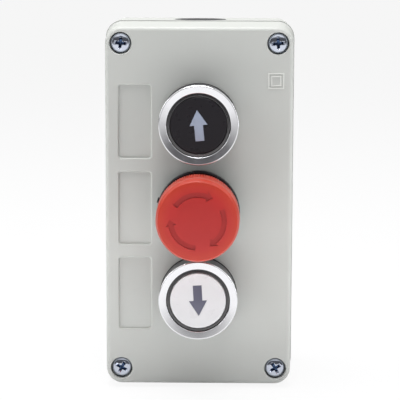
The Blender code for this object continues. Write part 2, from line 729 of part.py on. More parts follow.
def guide_sleeve(name, material, axis):
    outer = BEZEL_OPENING / 2 - RUN_GAP
    inner = outer - SLEEVE_RIM_WIDTH
    top = PANEL_SEAT + BEZEL_HEIGHT - SLEEVE_RECESS
    flange = PANEL_SEAT + BEZEL_FLOOR + SEAT_GAP
    tube = BARREL_RADIUS - BARREL_WALL - RUN_GAP
    round_over = SLEEVE_RIM_WIDTH / 3
    profile = [
        (outer, flange), (outer, top - round_over), (outer - round_over, top), (inner + round_over, top),
        (inner, top - round_over), (inner, flange + SLEEVE_FLANGE),
        (tube - SLEEVE_WALL, flange + SLEEVE_FLANGE), (tube - SLEEVE_WALL, STEM_FLOOR),
        (STEM_HOLE_RADIUS, STEM_FLOOR), (STEM_HOLE_RADIUS, -BARREL_LENGTH), (tube, -BARREL_LENGTH),
        (tube, flange),
    ]
    return turned(name, profile, COARSE, material, axis)


def arrow_outline(turn, grow=0.0):
    """A straight arrow that points up, turned anticlockwise as seen from the front, and grown all round."""
    tip = ARROW_LENGTH / 2 + 2 * grow
    barb = ARROW_LENGTH / 2 - ARROW_HEAD_LENGTH - grow
    head = ARROW_HEAD_WIDTH / 2 + 2 * grow
    shaft = ARROW_SHAFT_WIDTH / 2 + grow
    tail = -ARROW_LENGTH / 2 - grow
    left = [(0, tip), (-head, barb), (-shaft, barb), (-shaft, tail)]
    return turned_outline(left + [(-x, z) for x, z in reversed(left[1:])], turn)


def button_cap(name, turn, cap_material, arrow_material, axis):
    radius = BEZEL_OPENING / 2 - RUN_GAP - SLEEVE_RIM_WIDTH - RUN_GAP
    face = PANEL_SEAT + BEZEL_HEIGHT - CAP_RECESS
    skirt_end = PANEL_SEAT + BEZEL_FLOOR + SEAT_GAP + SLEEVE_FLANGE + BUTTON_TRAVEL + SEAT_GAP
    under = face - CAP_THICKNESS
    chamfer = CAP_SKIRT / 4
    profile = [
        (0, face), (radius - chamfer, face), (radius, face - chamfer), (radius, skirt_end),
        (radius - CAP_SKIRT, skirt_end), (radius - CAP_SKIRT, under),
    ] + stem_profile(under)
    cap = turned(name + "_cap", profile, COARSE, cap_material, axis, closed=False)
    pocket = arrow_outline(turn, INSERT_GAP)
    floor = face - ARROW_DEPTH - SEAT_GAP
    subtract(cap, prism(name + "_arrow_pocket", pocket, -floor, -(face + WALL), None, axis))
    prism(name + "_arrow", arrow_outline(turn), -(face - ARROW_DEPTH), -face, arrow_material, axis)
    return under


def pushbutton(prefix, place, turn, cap_material, arrow_material, materials):
    axis = operator_axis(prefix + "_axis", place)
    panel_gasket(prefix + "_panel_gasket", materials["rubber"], axis)
    bezel(prefix + "_bezel", materials["chrome"], axis)
    guide_sleeve(prefix + "_guide_sleeve", materials["black"], axis)
    under = button_cap(prefix, turn, cap_material, arrow_material, axis)
    spring(prefix + "_return_spring", STEM_FLOOR, under, 4, materials["steel"], axis)
    behind_the_panel(prefix, BUTTON_TRAVEL, materials["green"], materials, axis)


# Emergency stop

def stop_base(material, axis):
    ring = BASE_RING_RADIUS
    foot = ring - BASE_FLARE
    top = PANEL_SEAT + BASE_RING_HEIGHT
    cup = NECK_RADIUS + CUP_PLAY
    wall = ring - cup
    cup_floor = PANEL_SEAT + CUP_FLOOR
    bore = BARREL_RADIUS - BARREL_WALL
    profile = [
        (foot, PANEL_SEAT), (foot, PANEL_SEAT + 0.1 * BASE_RING_HEIGHT),
        (ring, PANEL_SEAT + 0.7 * BASE_RING_HEIGHT), (ring, top - 0.1 * wall), (ring - 0.1 * wall, top),
        (cup + 0.3 * wall, top), (cup, top - 0.25 * wall), (cup, cup_floor), (bore, cup_floor),
        (bore, STEM_FLOOR), (STEM_HOLE_RADIUS, STEM_FLOOR), (STEM_HOLE_RADIUS, -BARREL_LENGTH),
        (BARREL_RADIUS, -BARREL_LENGTH), (BARREL_RADIUS, PANEL_SEAT),
    ]
    base = turned("stop_base", profile, COARSE, material, axis)

    half = INDEX_TAB_WIDTH / 2
    proud = -ring - INDEX_TAB_PROUD
    root = -ring + wall / 4
    outline = turned_outline([(proud, -half), (root, -half), (root, half), (proud, half)], INDEX_TAB_TURN)
    tab_rear = top - 0.35 * BASE_RING_HEIGHT
    unite(base, prism("index_tab", outline, -tab_rear, -(top - 0.1 * wall), None, axis))
    return base


def turn_arrow_outline(start):
    """A curved arrow that runs clockwise from a start angle to its point."""
    inner = TURN_ARROW_RADIUS - TURN_ARROW_BAND / 2
    outer = TURN_ARROW_RADIUS + TURN_ARROW_BAND / 2
    neck = start - TURN_ARROW_SWEEP + TURN_ARROW_POINT
    steps = 6
    angles = [start + (neck - start) * step / steps for step in range(steps + 1)]
    spots = [(outer, angle) for angle in angles]
    spots.append((TURN_ARROW_RADIUS + TURN_ARROW_HEAD / 2, neck))
    spots.append((TURN_ARROW_RADIUS + TURN_ARROW_BAND / 4, start - TURN_ARROW_SWEEP))
    spots.append((TURN_ARROW_RADIUS - TURN_ARROW_HEAD / 2, neck))
    spots += [(inner, angle) for angle in reversed(angles)]
    return [(radius * math.cos(angle), radius * math.sin(angle)) for radius, angle in spots]


def ring_of(mesh_data, radius, height, count, ripple=0.0):
    """A ring of vertices, every second one pulled in where it is rippled."""
    verts = []
    for i in range(count):
        angle = math.tau * i / count
        reach = radius - (ripple if i % 2 else 0.0)
        verts.append(mesh_data.verts.new((reach * math.cos(angle), -height, reach * math.sin(angle))))
    return verts


def skin_rings(mesh_data, ring, after):
    """Joins two rings with quads, or with fans where one has a multiple of the other's vertices."""
    if len(ring) > len(after):
        ring, after = after, ring
    count = len(ring)
    ratio = len(after) // count
    for i in range(count):
        j = (i + 1) % count
        fan = [after[(i * ratio + step) % len(after)] for step in range(ratio + 1)]
        if ratio == 1:
            mesh_data.faces.new((ring[i], ring[j], fan[1], fan[0]))
            continue
        middle = ratio // 2
        for step in range(ratio):
            mesh_data.faces.new((ring[i if step < middle else j], fan[step + 1], fan[step]))
        mesh_data.faces.new((ring[i], ring[j], fan[middle]))


def stop_head(material, axis):
    """The mushroom: a flat face, a rounded shoulder, a knurled rim and a socket for the stem."""
    bottom = PANEL_SEAT + BASE_RING_HEIGHT + STOP_TRAVEL + SEAT_GAP
    face = bottom + HEAD_HEIGHT
    rim = face - HEAD_RIM_DROP
    knurl_end = rim - KNURL_LENGTH
    socket = STEM_HEAD_RADIUS + RUN_GAP
    socket_end = bottom + SOCKET_DEPTH
    coarse = KNURL_RIBS // 4
    smooth = KNURL_RIBS // 2
    fine = KNURL_RIBS * 2
    under = knurl_end - HEAD_SHOULDER * 0.25
    flat = HEAD_RADIUS - HEAD_SHOULDER
    rings = [(flat, face, smooth, 0.0)]
    for step in (1, 2):
        angle = math.radians(30) * step
        radius = flat + HEAD_SHOULDER * math.sin(angle)
        rings.append((radius, rim + HEAD_RIM_DROP * math.cos(angle), smooth, 0.0))
    rings += [
        (HEAD_RADIUS, rim, smooth, 0.0), (HEAD_RADIUS, rim - KNURL_DEPTH, fine, KNURL_DEPTH),
        (HEAD_RADIUS, knurl_end, fine, KNURL_DEPTH),
        (HEAD_RADIUS - HEAD_SHOULDER * 0.25, under, smooth, 0.0), (NECK_RADIUS, bottom, coarse, 0.0),
        (socket, bottom, coarse, 0.0), (socket, socket_end, coarse, 0.0),
    ]
    mesh_data = bmesh.new()
    made = [ring_of(mesh_data, *ring) for ring in rings]
    for ring, after in zip(made, made[1:]):
        skin_rings(mesh_data, ring, after)
    mesh_data.faces.new(made[0])
    mesh_data.faces.new(made[-1])
    head = add_object("stop_head", mesh_data, material, axis)

    arrows = bmesh.new()
    for turn in range(3):
        start = TURN_ARROW_START - math.tau / 3 * turn
        add_prism(arrows, turn_arrow_outline(start), -(face - TURN_ARROW_DEPTH), -(face + WALL))
    subtract(head, add_object("turn_arrows", arrows, None, axis))
    return bottom


def stop_stem(head_bottom, material, axis):
    """The stem: a spigot in the head, a neck that runs in the base, and a shoulder on the spring."""
    top = head_bottom + SOCKET_DEPTH - SEAT_GAP
    neck_top = head_bottom - SEAT_GAP
    neck_end = PANEL_SEAT + CUP_FLOOR + STOP_TRAVEL + SEAT_GAP
    shoulder = neck_end - STEM_COLLAR_LENGTH
    chamfer = STEM_HEAD_RADIUS / 10
    profile = [
        (0, top), (STEM_HEAD_RADIUS - chamfer, top), (STEM_HEAD_RADIUS, top - chamfer),
        (STEM_HEAD_RADIUS, neck_top), (NECK_RADIUS, neck_top), (NECK_RADIUS, neck_end),
        (STEM_HEAD_RADIUS, neck_end), (STEM_HEAD_RADIUS, shoulder),
    ] + stem_profile(shoulder)
    turned("stop_stem", profile, COARSE, material, axis, closed=False)
    return shoulder


def emergency_stop(place, materials):
    axis = operator_axis("stop_axis", place)
    panel_gasket("stop_panel_gasket", materials["rubber"], axis)
    stop_base(materials["black"], axis)
    head_bottom = stop_head(materials["red"], axis)
    shoulder = stop_stem(head_bottom, materials["black"], axis)
    spring("stop_spring", STEM_FLOOR, shoulder, 3, materials["steel"], axis)
    behind_the_panel("stop", STOP_TRAVEL, materials["red"], materials, axis)


def make_materials():
    return {
        "grey": make_material("Light grey ABS", (0.55, 0.55, 0.53), 0.45),
        "rubber": make_material("Black rubber", (0.02, 0.02, 0.02), 0.7),
        "black": make_material("Black acetal", (0.02, 0.02, 0.023), 0.35),
        "white": make_material("White polycarbonate", (0.8, 0.8, 0.82), 0.3),
        "pale_ink": make_material("Pale grey insert", (0.4, 0.43, 0.52), 0.4),
        "dark_ink": make_material("Dark grey insert", (0.13, 0.13, 0.19), 0.4),
        "red": make_material("Red thermoplastic", (0.62, 0.06, 0.05), 0.4),
        "green": make_material("Green thermoplastic", (0.06, 0.3, 0.12), 0.4),
        "chrome": make_material("Satin chrome", (0.8, 0.8, 0.82), 0.2, 1.0),
        "steel": make_material("Zinc-plated steel", (0.7, 0.72, 0.76), 0.25, 1.0),
        "zinc": make_material("Die-cast zinc", (0.55, 0.56, 0.58), 0.4, 1.0),
    }


def build():
    clear_scene()
    materials = make_materials()
    rear_housing(materials["grey"])
    front_cover(materials["grey"])
    cover_gasket(materials["rubber"])
    cable_entry_grommet(materials["rubber"])
    names = ("top_left", "top_right", "bottom_left", "bottom_right")
    for corner, place in zip(names, corner_places()):
        cover_screw("cover_screw_" + corner, place, materials["steel"])
    up, stop, down = operator_places()
    pushbutton("up", up, UP_ARROW_TURN, materials["black"], materials["pale_ink"], materials)
    pushbutton("down", down, DOWN_ARROW_TURN, materials["white"], materials["dark_ink"], materials)
    emergency_stop(stop, materials)


build()
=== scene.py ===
"""Looks for the pushbutton control station, laid out as an add-on with one operator for each piece."""
import math

import bmesh
import bpy
from bpy.props import FloatProperty, FloatVectorProperty, IntProperty, PointerProperty
from mathutils import Matrix, Vector


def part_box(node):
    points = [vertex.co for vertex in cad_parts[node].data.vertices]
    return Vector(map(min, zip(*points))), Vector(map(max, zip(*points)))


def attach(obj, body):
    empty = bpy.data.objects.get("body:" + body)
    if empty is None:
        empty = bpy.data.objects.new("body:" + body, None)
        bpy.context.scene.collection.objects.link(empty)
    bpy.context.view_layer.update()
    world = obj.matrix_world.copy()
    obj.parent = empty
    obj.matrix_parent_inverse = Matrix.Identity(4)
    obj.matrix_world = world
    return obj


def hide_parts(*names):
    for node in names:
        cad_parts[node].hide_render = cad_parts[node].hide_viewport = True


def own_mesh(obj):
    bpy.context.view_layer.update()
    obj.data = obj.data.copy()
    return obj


bl_info = {
    "name": "Pushbutton control station",
    "version": (1, 0, 0),
    "blender": (4, 5, 0),
    "location": "View3D > Sidebar > Station",
    "description": "Builds the enclosure, the two pushbuttons, the emergency stop and their finishes",
    "category": "Add Mesh",
}

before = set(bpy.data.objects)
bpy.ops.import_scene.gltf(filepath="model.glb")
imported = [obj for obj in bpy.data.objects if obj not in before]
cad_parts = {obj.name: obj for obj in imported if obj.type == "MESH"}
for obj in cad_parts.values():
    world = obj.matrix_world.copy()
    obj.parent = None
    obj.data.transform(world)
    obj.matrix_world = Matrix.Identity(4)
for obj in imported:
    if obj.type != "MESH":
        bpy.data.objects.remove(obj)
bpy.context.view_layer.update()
MM = 0.001
# Two places closer than this, in metres, are the same
NEAR = 1e-6

# Places read from the frame
HOUSING_LOW, HOUSING_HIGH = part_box("rear_housing")
COVER_LOW, COVER_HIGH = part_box("front_cover")
BEZEL_LOW, BEZEL_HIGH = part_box("up_bezel")
FACE_Y = COVER_LOW.y
UP_Z = (BEZEL_LOW.z + BEZEL_HIGH.z) / 2
DOWN_Z = -UP_Z
SCREW_X = sum(corner.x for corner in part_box("cover_screw_top_right")) / 2
SCREW_Z = sum(corner.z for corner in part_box("cover_screw_top_right")) / 2
ENTRY_Y = sum(corner.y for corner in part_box("cable_entry_grommet")) / 2

# What the operators' pieces share, in mm, with heights measured from the cover's face to the front
BARREL_END = -10.0
GUIDE_FLOOR = -8.5
STEM = 2.4
STEM_BORE = 2.7
SNAP_FOOT = [(STEM, -10.3), (3.2, -10.3), (3.2, -10.8), (STEM, -11.5), (0, -11.5)]

WHITE = (1.0, 1.0, 1.0, 1.0)


def linear(code):
    """An sRGB hex colour as the linear values that a shader takes."""
    channels = [int(code[i:i + 2], 16) / 255 for i in (0, 2, 4)]
    return tuple(c / 12.92 if c <= 0.04045 else ((c + 0.055) / 1.055) ** 2.4 for c in channels)


def length(name, description, millimetres):
    return FloatProperty(
        name=name, description=description, default=millimetres * MM, min=0.0, unit="LENGTH", precision=5
    )


def colour(name, description, code):
    return FloatVectorProperty(
        name=name, description=description, default=linear(code), size=3, min=0.0, max=1.0, subtype="COLOR"
    )


class EnclosureSizes(bpy.types.PropertyGroup):
    """Sizes of the housing, the cover and what is moulded in them."""

    wall: length("Wall", "Wall of the housing and the cover", 3.0)
    housing_corner: length("Housing corner", "Radius of the housing's upright corners", 6.4)
    cover_corner: length("Cover corner", "Radius of the cover's upright corners at its rim", 6.15)
    cover_draft_side: length("Side draft", "How far each side of the cover leans in", 0.95)
    cover_draft_end: length("End draft", "How far each end of the cover leans in", 1.25)
    face_edge: length("Face edge", "Radius round the edge of the cover's face", 1.5)
    back_edge: length("Back edge", "Radius round the edge of the housing's back", 0.8)
    pillar: length("Pillar", "Radius of the corner pillars that take the cover screws", 5.6)
    well: length("Screw well", "Radius of the wells for the cover screws", 4.05)
    well_depth: length("Well depth", "Depth of the wells for the cover screws", 3.6)
    shank_hole: length("Shank hole", "Radius of the holes for the screw shanks", 2.05)
    entry: length("Cable entry", "Radius of the cable entry and of the knock-out", 10.2)
    operator_hole: length("Operator hole", "Radius of the holes for the operators", 11.15)
    recess_left: length("Recess left edge", "Distance of the recesses' left edge from the middle", 29.55)
    recess_right: length("Recess right edge", "Distance of the recesses' right edge from the middle", 17.75)
    recess_height: length("Recess height", "Height of the label recesses", 27.0)
    recess_depth: length("Recess depth", "Depth of the label recesses", 1.0)
    mark_size: length("Mark size", "Outer side of the raised double-insulation mark", 5.9)
    mark_x: length("Mark place X", "Middle of the mark, right of the middle", 28.2)
    mark_z: length("Mark place Z", "Middle of the mark, above the middle", 47.4)


class OperatorSizes(bpy.types.PropertyGroup):
    """Sizes of the pushbuttons and the emergency stop, with heights in front of the cover."""

    seat: length("Seat", "Height of the operators' seat", 1.6)
    barrel: length("Barrel", "Radius of the barrels that pass the cover", 10.9)
    bezel: length("Bezel", "Radius of the bezels", 14.5)
    bezel_opening: length("Bezel opening", "Radius of the opening in the bezels", 11.65)
    bezel_top: length("Bezel top", "Height of the bezels' rim", 13.4)
    bezel_edge: length("Bezel edge", "Height from which the step under the bezels' rim is set", 12.95)
    cap: length("Cap", "Radius of the caps", 10.25)
    cap_top: length("Cap top", "Height of the caps' faces", 13.0)
    arrow_length: length("Arrow length", "Length of the straight arrows", 11.3)
    ring: length("Stop ring", "Radius of the ring under the mushroom", 15.15)
    ring_top: length("Ring top", "Height of the ring under the mushroom", 9.3)
    mushroom: length("Mushroom", "Radius of the mushroom", 15.0)
    mushroom_bottom: length("Mushroom bottom", "Height of the mushroom's underside", 15.1)
    mushroom_top: length("Mushroom top", "Height of the middle of the mushroom's face", 30.2)
    ribs: IntProperty(name="Ribs", description="Ribs of the knurl round the mushroom", default=104, min=24)


class Finishes(bpy.types.PropertyGroup):
    """Colours of the materials."""

    abs_grey: colour("Enclosure grey", "Light grey of the moulded enclosure", "C3C5C1")
    rubber: colour("Rubber", "Black of the grommet and the gaskets", "1B1A20")
    black: colour("Black", "Black of the upper cap, the sleeves and the ring", "1A171C")
    white: colour("White", "White of the lower cap", "DADADC")
    pale_arrow: colour("Pale arrow", "Grey of the arrow on the black cap", "98A2B5")
    dark_arrow: colour("Dark arrow", "Grey of the arrow on the white cap", "646475")
    red: colour("Red", "Red of the mushroom", "AF2522")
    chrome: colour("Chrome", "Tint of the satin chrome", "F7F7FA")
    zinc: colour("Zinc", "Tint of the zinc-plated steel", "DAE0EE")
    floor: colour("Floor", "Colour of the floor", "F2F2F4")


def sizes():
    return bpy.context.scene.station_enclosure


def operators():
    return bpy.context.scene.station_operators


def finishes():
    return bpy.context.scene.station_finishes


# Materials


def add_node(owner, kind, settings=None, slots=None, stops=(), **inputs):
    """Adds a shader node with its settings and its ramp's stops.

    Its inputs are set or linked, by number in slots and by name in the rest.
    """
    node = owner.node_tree.nodes.new(kind)
    for key, value in (settings or {}).items():
        setattr(node, key, value)
    if stops:
        ramp = node.color_ramp.elements
        ramp.remove(ramp[1])
        ramp[0].position, ramp[0].color = stops[0]
        for position, tone in stops[1:]:
            ramp.new(position).color = tone
    values = [(node.inputs[number], value) for number, value in (slots or {}).items()]
    values += [(node.inputs[key.replace("_", " ")], value) for key, value in inputs.items()]
    for socket, value in values:
        if isinstance(value, bpy.types.NodeSocket):
            owner.node_tree.links.new(value, socket)
        else:
            socket.default_value = value
    return node


def shaded(tone, factor):
    """A colour made darker or lighter by a factor."""
    return tuple(min(1.0, channel * factor) for channel in tone) + (1.0,)


def mottle(material, shader, place, tone, scale, spread):
    """Slow colour variation, as in a moulding or a used surface."""
    noise = add_node(material, "ShaderNodeTexNoise", Vector=place, Scale=scale, Detail=3.0, Roughness=0.55)
    stops = ((0.3, shaded(tone, 1.0 - spread)), (0.7, shaded(tone, 1.0 + spread)))
    ramp = add_node(material, "ShaderNodeValToRGB", stops=stops, Fac=noise.outputs["Fac"])
    material.node_tree.links.new(ramp.outputs["Color"], shader.inputs["Base Color"])


def uneven_gloss(material, shader, place, scale, low, high):
    """Roughness that wanders between two values, as handling and wear leave it."""
    noise = add_node(material, "ShaderNodeTexNoise", Vector=place, Scale=scale, Detail=4.0)
    spread = add_node(
        material, "ShaderNodeMapRange", Value=noise.outputs["Fac"], From_Min=0.3, From_Max=0.7, To_Min=low,
        To_Max=high,
    )
    material.node_tree.links.new(spread.outputs["Result"], shader.inputs["Roughness"])


def grain(material, shader, place, scale, depth, strength, stretch=(1.0, 1.0, 1.0)):
    """A fine relief with its depth in mm."""
    placed = add_node(material, "ShaderNodeMapping", Vector=place, Scale=stretch).outputs["Vector"]
    noise = add_node(material, "ShaderNodeTexNoise", Vector=placed, Scale=scale, Detail=2.0)
    bump = add_node(
        material, "ShaderNodeBump", Height=noise.outputs["Fac"], Distance=depth * MM, Strength=strength
    )
    material.node_tree.links.new(bump.outputs["Normal"], shader.inputs["Normal"])


def surface(name, tone, roughness, metallic=0.0, ior=1.5, mottling=None, gloss=None, relief=None):
    """A named material with the variation that its process and its use leave on it.

    mottling is (scale, spread of the colour), gloss is (scale, lowest roughness, highest roughness) and
    relief is (scale, depth in mm, strength). A scale is one over a size in metres.
    """
    found = bpy.data.materials.get(name)
    if found:
        return found
    material = bpy.data.materials.new(name)
    material.use_nodes = True
    material.diffuse_color = (*tone, 1.0)
    shader = material.node_tree.nodes["Principled BSDF"]
    shader.inputs["Base Color"].default_value = (*tone, 1.0)
    shader.inputs["Roughness"].default_value = roughness
    shader.inputs["Metallic"].default_value = metallic
    shader.inputs["IOR"].default_value = ior
    place = add_node(material, "ShaderNodeTexCoord").outputs["Object"]
    if mottling:
        mottle(material, shader, place, tone, *mottling)
    if gloss:
        uneven_gloss(material, shader, place, *gloss)
    if relief:
        grain(material, shader, place, *relief)
    return material


def parts_of(material):
    """The shader of a material from surface(), and the place on the object that it reads."""
    nodes = material.node_tree.nodes
    return nodes["Principled BSDF"], nodes["Texture Coordinate"].outputs["Object"]


def abs_spark_eroded():
    # Light grey ABS, injection moulded in a spark-eroded tool: an even, dull face with a fine pebble.
    # The real pebble is 0.1 mm across; it is drawn at 0.6 mm, because a pixel covers 0.37 mm
    return surface(
        "ABS_light_grey_moulded", finishes().abs_grey, 0.5, ior=1.54,
        mottling=(45.0, 0.012), relief=(1700.0, 0.02, 0.35),
    )


def abs_smooth_painted_highlight():
    # The raised mark was cut in the tool and left smooth; its lighter grey than the pebble is a painted
    # highlight on the raised lines
    return surface("ABS_light_grey_smooth_painted_highlight", linear("DCDDD9"), 0.35, mottling=(90.0, 0.015))


def epdm_rubber():
    # Black EPDM rubber, pressed: matt, with a soft bloom
    return surface(
        "EPDM_rubber_black", finishes().rubber, 0.65, mottling=(150.0, 0.12), relief=(1400.0, 0.03, 0.4)
    )


def satin_chrome():
    # Satin chrome on die-cast zinc, turned before plating: bright, with soft reflections. The satin
    # blast is under 0.1 mm across; it is drawn at 0.7 mm so that it breaks the highlight
    return surface(
        "Satin_chrome_on_zinc", finishes().chrome, 0.2, metallic=1.0,
        gloss=(260.0, 0.09, 0.17), relief=(1400.0, 0.004, 0.25),
    )


def chrome_wall_painted_shade():
    # Painted shade: the bezel's wall behind the rim is a darker, duller chrome, whose darker tint stands in
    # for the shade that the rim and the cover leave on it
    return surface(
        "Chrome_darkened_wall_painted_shade", linear("8C8C90"), 0.38, metallic=1.0,
        mottling=(260.0, 0.05), relief=(1100.0, 0.01, 0.3),
    )


def acetal_black():
    # Black acetal, moulded: hard, with a dull gloss on its edges
    return surface(
        "Acetal_black_moulded", finishes().black, 0.28, ior=1.48,
        mottling=(220.0, 0.1), gloss=(300.0, 0.2, 0.34), relief=(700.0, 0.01, 0.2),
    )


def acetal_polished():
    # The same acetal on the guide sleeves, from a polished tool: the bead round the cap mirrors the
    # roof in grey. Its IOR is raised until that grey is as light as on the object
    return surface(
        "Acetal_black_polished", finishes().black, 0.2, ior=2.1,
        mottling=(220.0, 0.1), gloss=(300.0, 0.12, 0.26), relief=(700.0, 0.01, 0.2),
    )


def cap_plastic(name, tone, roughness, ior=1.48):
    # Polycarbonate, moulded in a fine-blasted tool: an even satin face
    return surface(
        name, tone, roughness, ior=ior, mottling=(90.0, 0.015),
        gloss=(240.0, roughness - 0.05, roughness + 0.06), relief=(1500.0, 0.008, 0.2),
    )


def mushroom_red(name, depth):
    # Red ABS, moulded with a satin face, with a little subsurface scattering
    red = shaded(finishes().red, depth)[:3]
    material = surface(
        name, red, 0.42, ior=1.49,
        mottling=(70.0, 0.02), gloss=(200.0, 0.28, 0.4), relief=(1300.0, 0.012, 0.25),
    )
    shader, place = parts_of(material)
    shader.inputs["Subsurface Weight"].default_value = 0.06
    shader.inputs["Subsurface Radius"].default_value = (0.002, 0.0008, 0.0005)
    # Painted light: the red is darker over the middle of the face and lighter and warmer towards the rim,
    # where the shoulder catches the light
    flat = add_node(
        material, "ShaderNodeVectorMath", {"operation": "MULTIPLY"}, {0: place, 1: (1.0, 0.0, 1.0)}
    )
    reach = add_node(
        material, "ShaderNodeVectorMath", {"operation": "LENGTH"}, {0: flat.outputs["Vector"]}
    ).outputs["Value"]
    share = add_node(material, "ShaderNodeMapRange", Value=reach, From_Max=20 * MM).outputs["Result"]
    painted_light_tones = ((0.35, (0.95, 0.95, 0.95, 1.0)), (0.66, (1.08, 1.08, 1.08, 1.0)))
    painted_light_lift = add_node(material, "ShaderNodeValToRGB", stops=painted_light_tones, Fac=share)
    painted_warm_light = add_node(
        material, "ShaderNodeMapRange", Value=reach, From_Min=10 * MM, From_Max=16 * MM, To_Min=0.5,
        To_Max=0.509,
    )
    tone = add_node(
        material, "ShaderNodeHueSaturation", Color=shader.inputs["Base Color"].links[0].from_socket,
        Hue=painted_warm_light.outputs["Result"], Value=painted_light_lift.outputs["Color"],
    )
    material.node_tree.links.new(tone.outputs["Color"], shader.inputs["Base Color"])
    return material


def zinc_plate():
    # Bright zinc plate with a blue passivation on pressed steel
    return surface(
        "Zinc_plated_steel_blue", finishes().zinc, 0.2, metallic=1.0,
        mottling=(600.0, 0.05), gloss=(700.0, 0.14, 0.3), relief=(1100.0, 0.006, 0.3),
    )


def zinc_plate_painted_cross_shade():
    # The same plate on the cover screws, shinier, and darker and bluer the deeper it lies in the cross:
    # painted shade of the recess
    material = surface(
        "Zinc_plated_steel_cross_painted_shade", finishes().zinc, 0.2, metallic=1.0,
        gloss=(700.0, 0.07, 0.16), relief=(1100.0, 0.006, 0.3),
    )
    shader, place = parts_of(material)
    # Painted shade: the colour runs from the plate's tint to a dark blue with depth in the cross
    depth = add_node(material, "ShaderNodeSeparateXYZ", Vector=place).outputs["Y"]
    sunk = add_node(
        material, "ShaderNodeMapRange", Value=depth, From_Min=FACE_Y + 1.5 * MM, From_Max=FACE_Y + 1.95 * MM
    )
    ramp = add_node(
        material, "ShaderNodeValToRGB", Fac=sunk.outputs["Result"],
        stops=((0.0, shaded(finishes().zinc, 0.9)), (1.0, shaded(linear("4C6080"), 1.0))),
    )
    material.node_tree.links.new(ramp.outputs["Color"], shader.inputs["Base Color"])
    return material


def die_cast_zinc():
    # Zinc alloy as cast: dull, with flow marks
    return surface(
        "Zinc_die_cast_raw", linear("8E9094"), 0.45, metallic=1.0,
        mottling=(180.0, 0.08), relief=(900.0, 0.03, 0.5),
    )


def contact_nylon(name, code):
    # Glass-filled nylon, moulded: a dry face with faint fibre marks
    return surface(
        name, linear(code), 0.5, ior=1.53, mottling=(160.0, 0.05), relief=(700.0, 0.02, 0.4, (1.0, 1.0, 4.0))
    )


def spring_wire():
    # Cold-drawn spring steel with fine die lines
    return surface(
        "Spring_steel_drawn", linear("9A9CA2"), 0.28, metallic=1.0,
        mottling=(500.0, 0.06), relief=(1800.0, 0.01, 0.4),
    )


# Hand work: what each operator does with Blender's own tools


def start_clean():
    if bpy.context.mode != "OBJECT":
        bpy.ops.object.mode_set(mode="OBJECT")
    bpy.ops.object.select_all(action="DESELECT")


def choose(piece):
    start_clean()
    piece.select_set(True)
    bpy.context.view_layer.objects.active = piece


def edit(piece):
    choose(piece)
    bpy.ops.object.mode_set(mode="EDIT")
    bpy.ops.mesh.select_all(action="DESELECT")


def leave():
    bpy.ops.object.mode_set(mode="OBJECT")


def name_active(name):
    """Names what an operator has just made."""
    piece = bpy.context.active_object
    piece.name = name
    piece.data.name = name
    return piece


def select(piece, kind, test):
    """Selects the vertices, edges or faces that pass a test, in edit mode."""
    bpy.ops.mesh.select_all(action="DESELECT")
    bpy.ops.mesh.select_mode(type=kind)
    work = bmesh.from_edit_mesh(piece.data)
    for element in {"VERT": work.verts, "EDGE": work.edges, "FACE": work.faces}[kind]:
        if test(element):
            element.select_set(True)
    work.select_flush_mode()
    bmesh.update_edit_mesh(piece.data)


def modify(piece, kind, **settings):
    """Adds a modifier with its settings and applies it."""
    choose(piece)
    bpy.ops.object.modifier_add(type=kind)
    modifier = piece.modifiers[-1]
    for key, value in settings.items():
        setattr(modifier, key, value)
    bpy.ops.object.modifier_apply(modifier=modifier.name)


def merge_and_turn_out(distance):
    """Merges the doubles of the mesh in edit mode and turns its faces outwards."""
    bpy.ops.mesh.select_all(action="SELECT")
    bpy.ops.mesh.remove_doubles(threshold=distance)
    bpy.ops.mesh.normals_make_consistent(inside=False)


def add_block(name, low, high):
    """A box primitive between two corners."""
    start_clean()
    middle = (Vector(low) + Vector(high)) / 2
    bpy.ops.mesh.primitive_cube_add(size=1.0, location=middle, scale=Vector(high) - Vector(low))
    piece = name_active(name)
    bpy.ops.object.transform_apply(location=True, rotation=True, scale=True)
    return piece


def bevel_edges(piece, radius, segments, test):
    """Rounds the edges whose two ends pass a test."""
    edit(piece)
    select(piece, "EDGE", lambda edge: test(edge.verts[0].co, edge.verts[1].co))
    bpy.ops.mesh.bevel(offset=radius, segments=segments, affect="EDGES")
    leave()


def round_uprights(piece, radius, segments):
    """Rounds the edges of a block that run from front to back."""
    bevel_edges(piece, radius, segments, lambda a, b: abs(a.x - b.x) < NEAR and abs(a.z - b.z) < NEAR)


def round_end(piece, y, radius, segments):
    """Rounds the edge round the end of a block that lies at y."""
    bevel_edges(piece, radius, segments, lambda a, b: abs(a.y - y) < NEAR and abs(b.y - y) < NEAR)


def draw_in(piece, y, scale_x, scale_z):
    """Scales the end of a block that lies at y about the middle."""
    edit(piece)
    select(piece, "FACE", lambda face: abs(face.calc_center_median().y - y) < NEAR)
    bpy.ops.transform.resize(value=(scale_x, 1.0, scale_z), center_override=(0.0, y, 0.0))
    leave()


def draw_line(name, points):
    """Extrudes one vertex along a row of points, and stays in edit mode."""
    start_clean()
    bpy.ops.mesh.primitive_plane_add(size=MM, location=(0.0, 0.0, 0.0))
    piece = name_active(name)
    bpy.ops.object.mode_set(mode="EDIT")
    bpy.ops.mesh.select_mode(type="VERT")
    bpy.ops.mesh.select_all(action="SELECT")
    bpy.ops.mesh.merge(type="CENTER")
    bpy.ops.transform.translate(value=points[0])
    for before, after in zip(points, points[1:]):
        step = Vector(after) - Vector(before)
        bpy.ops.mesh.extrude_vertices_move(TRANSFORM_OT_translate={"value": step})
    return piece


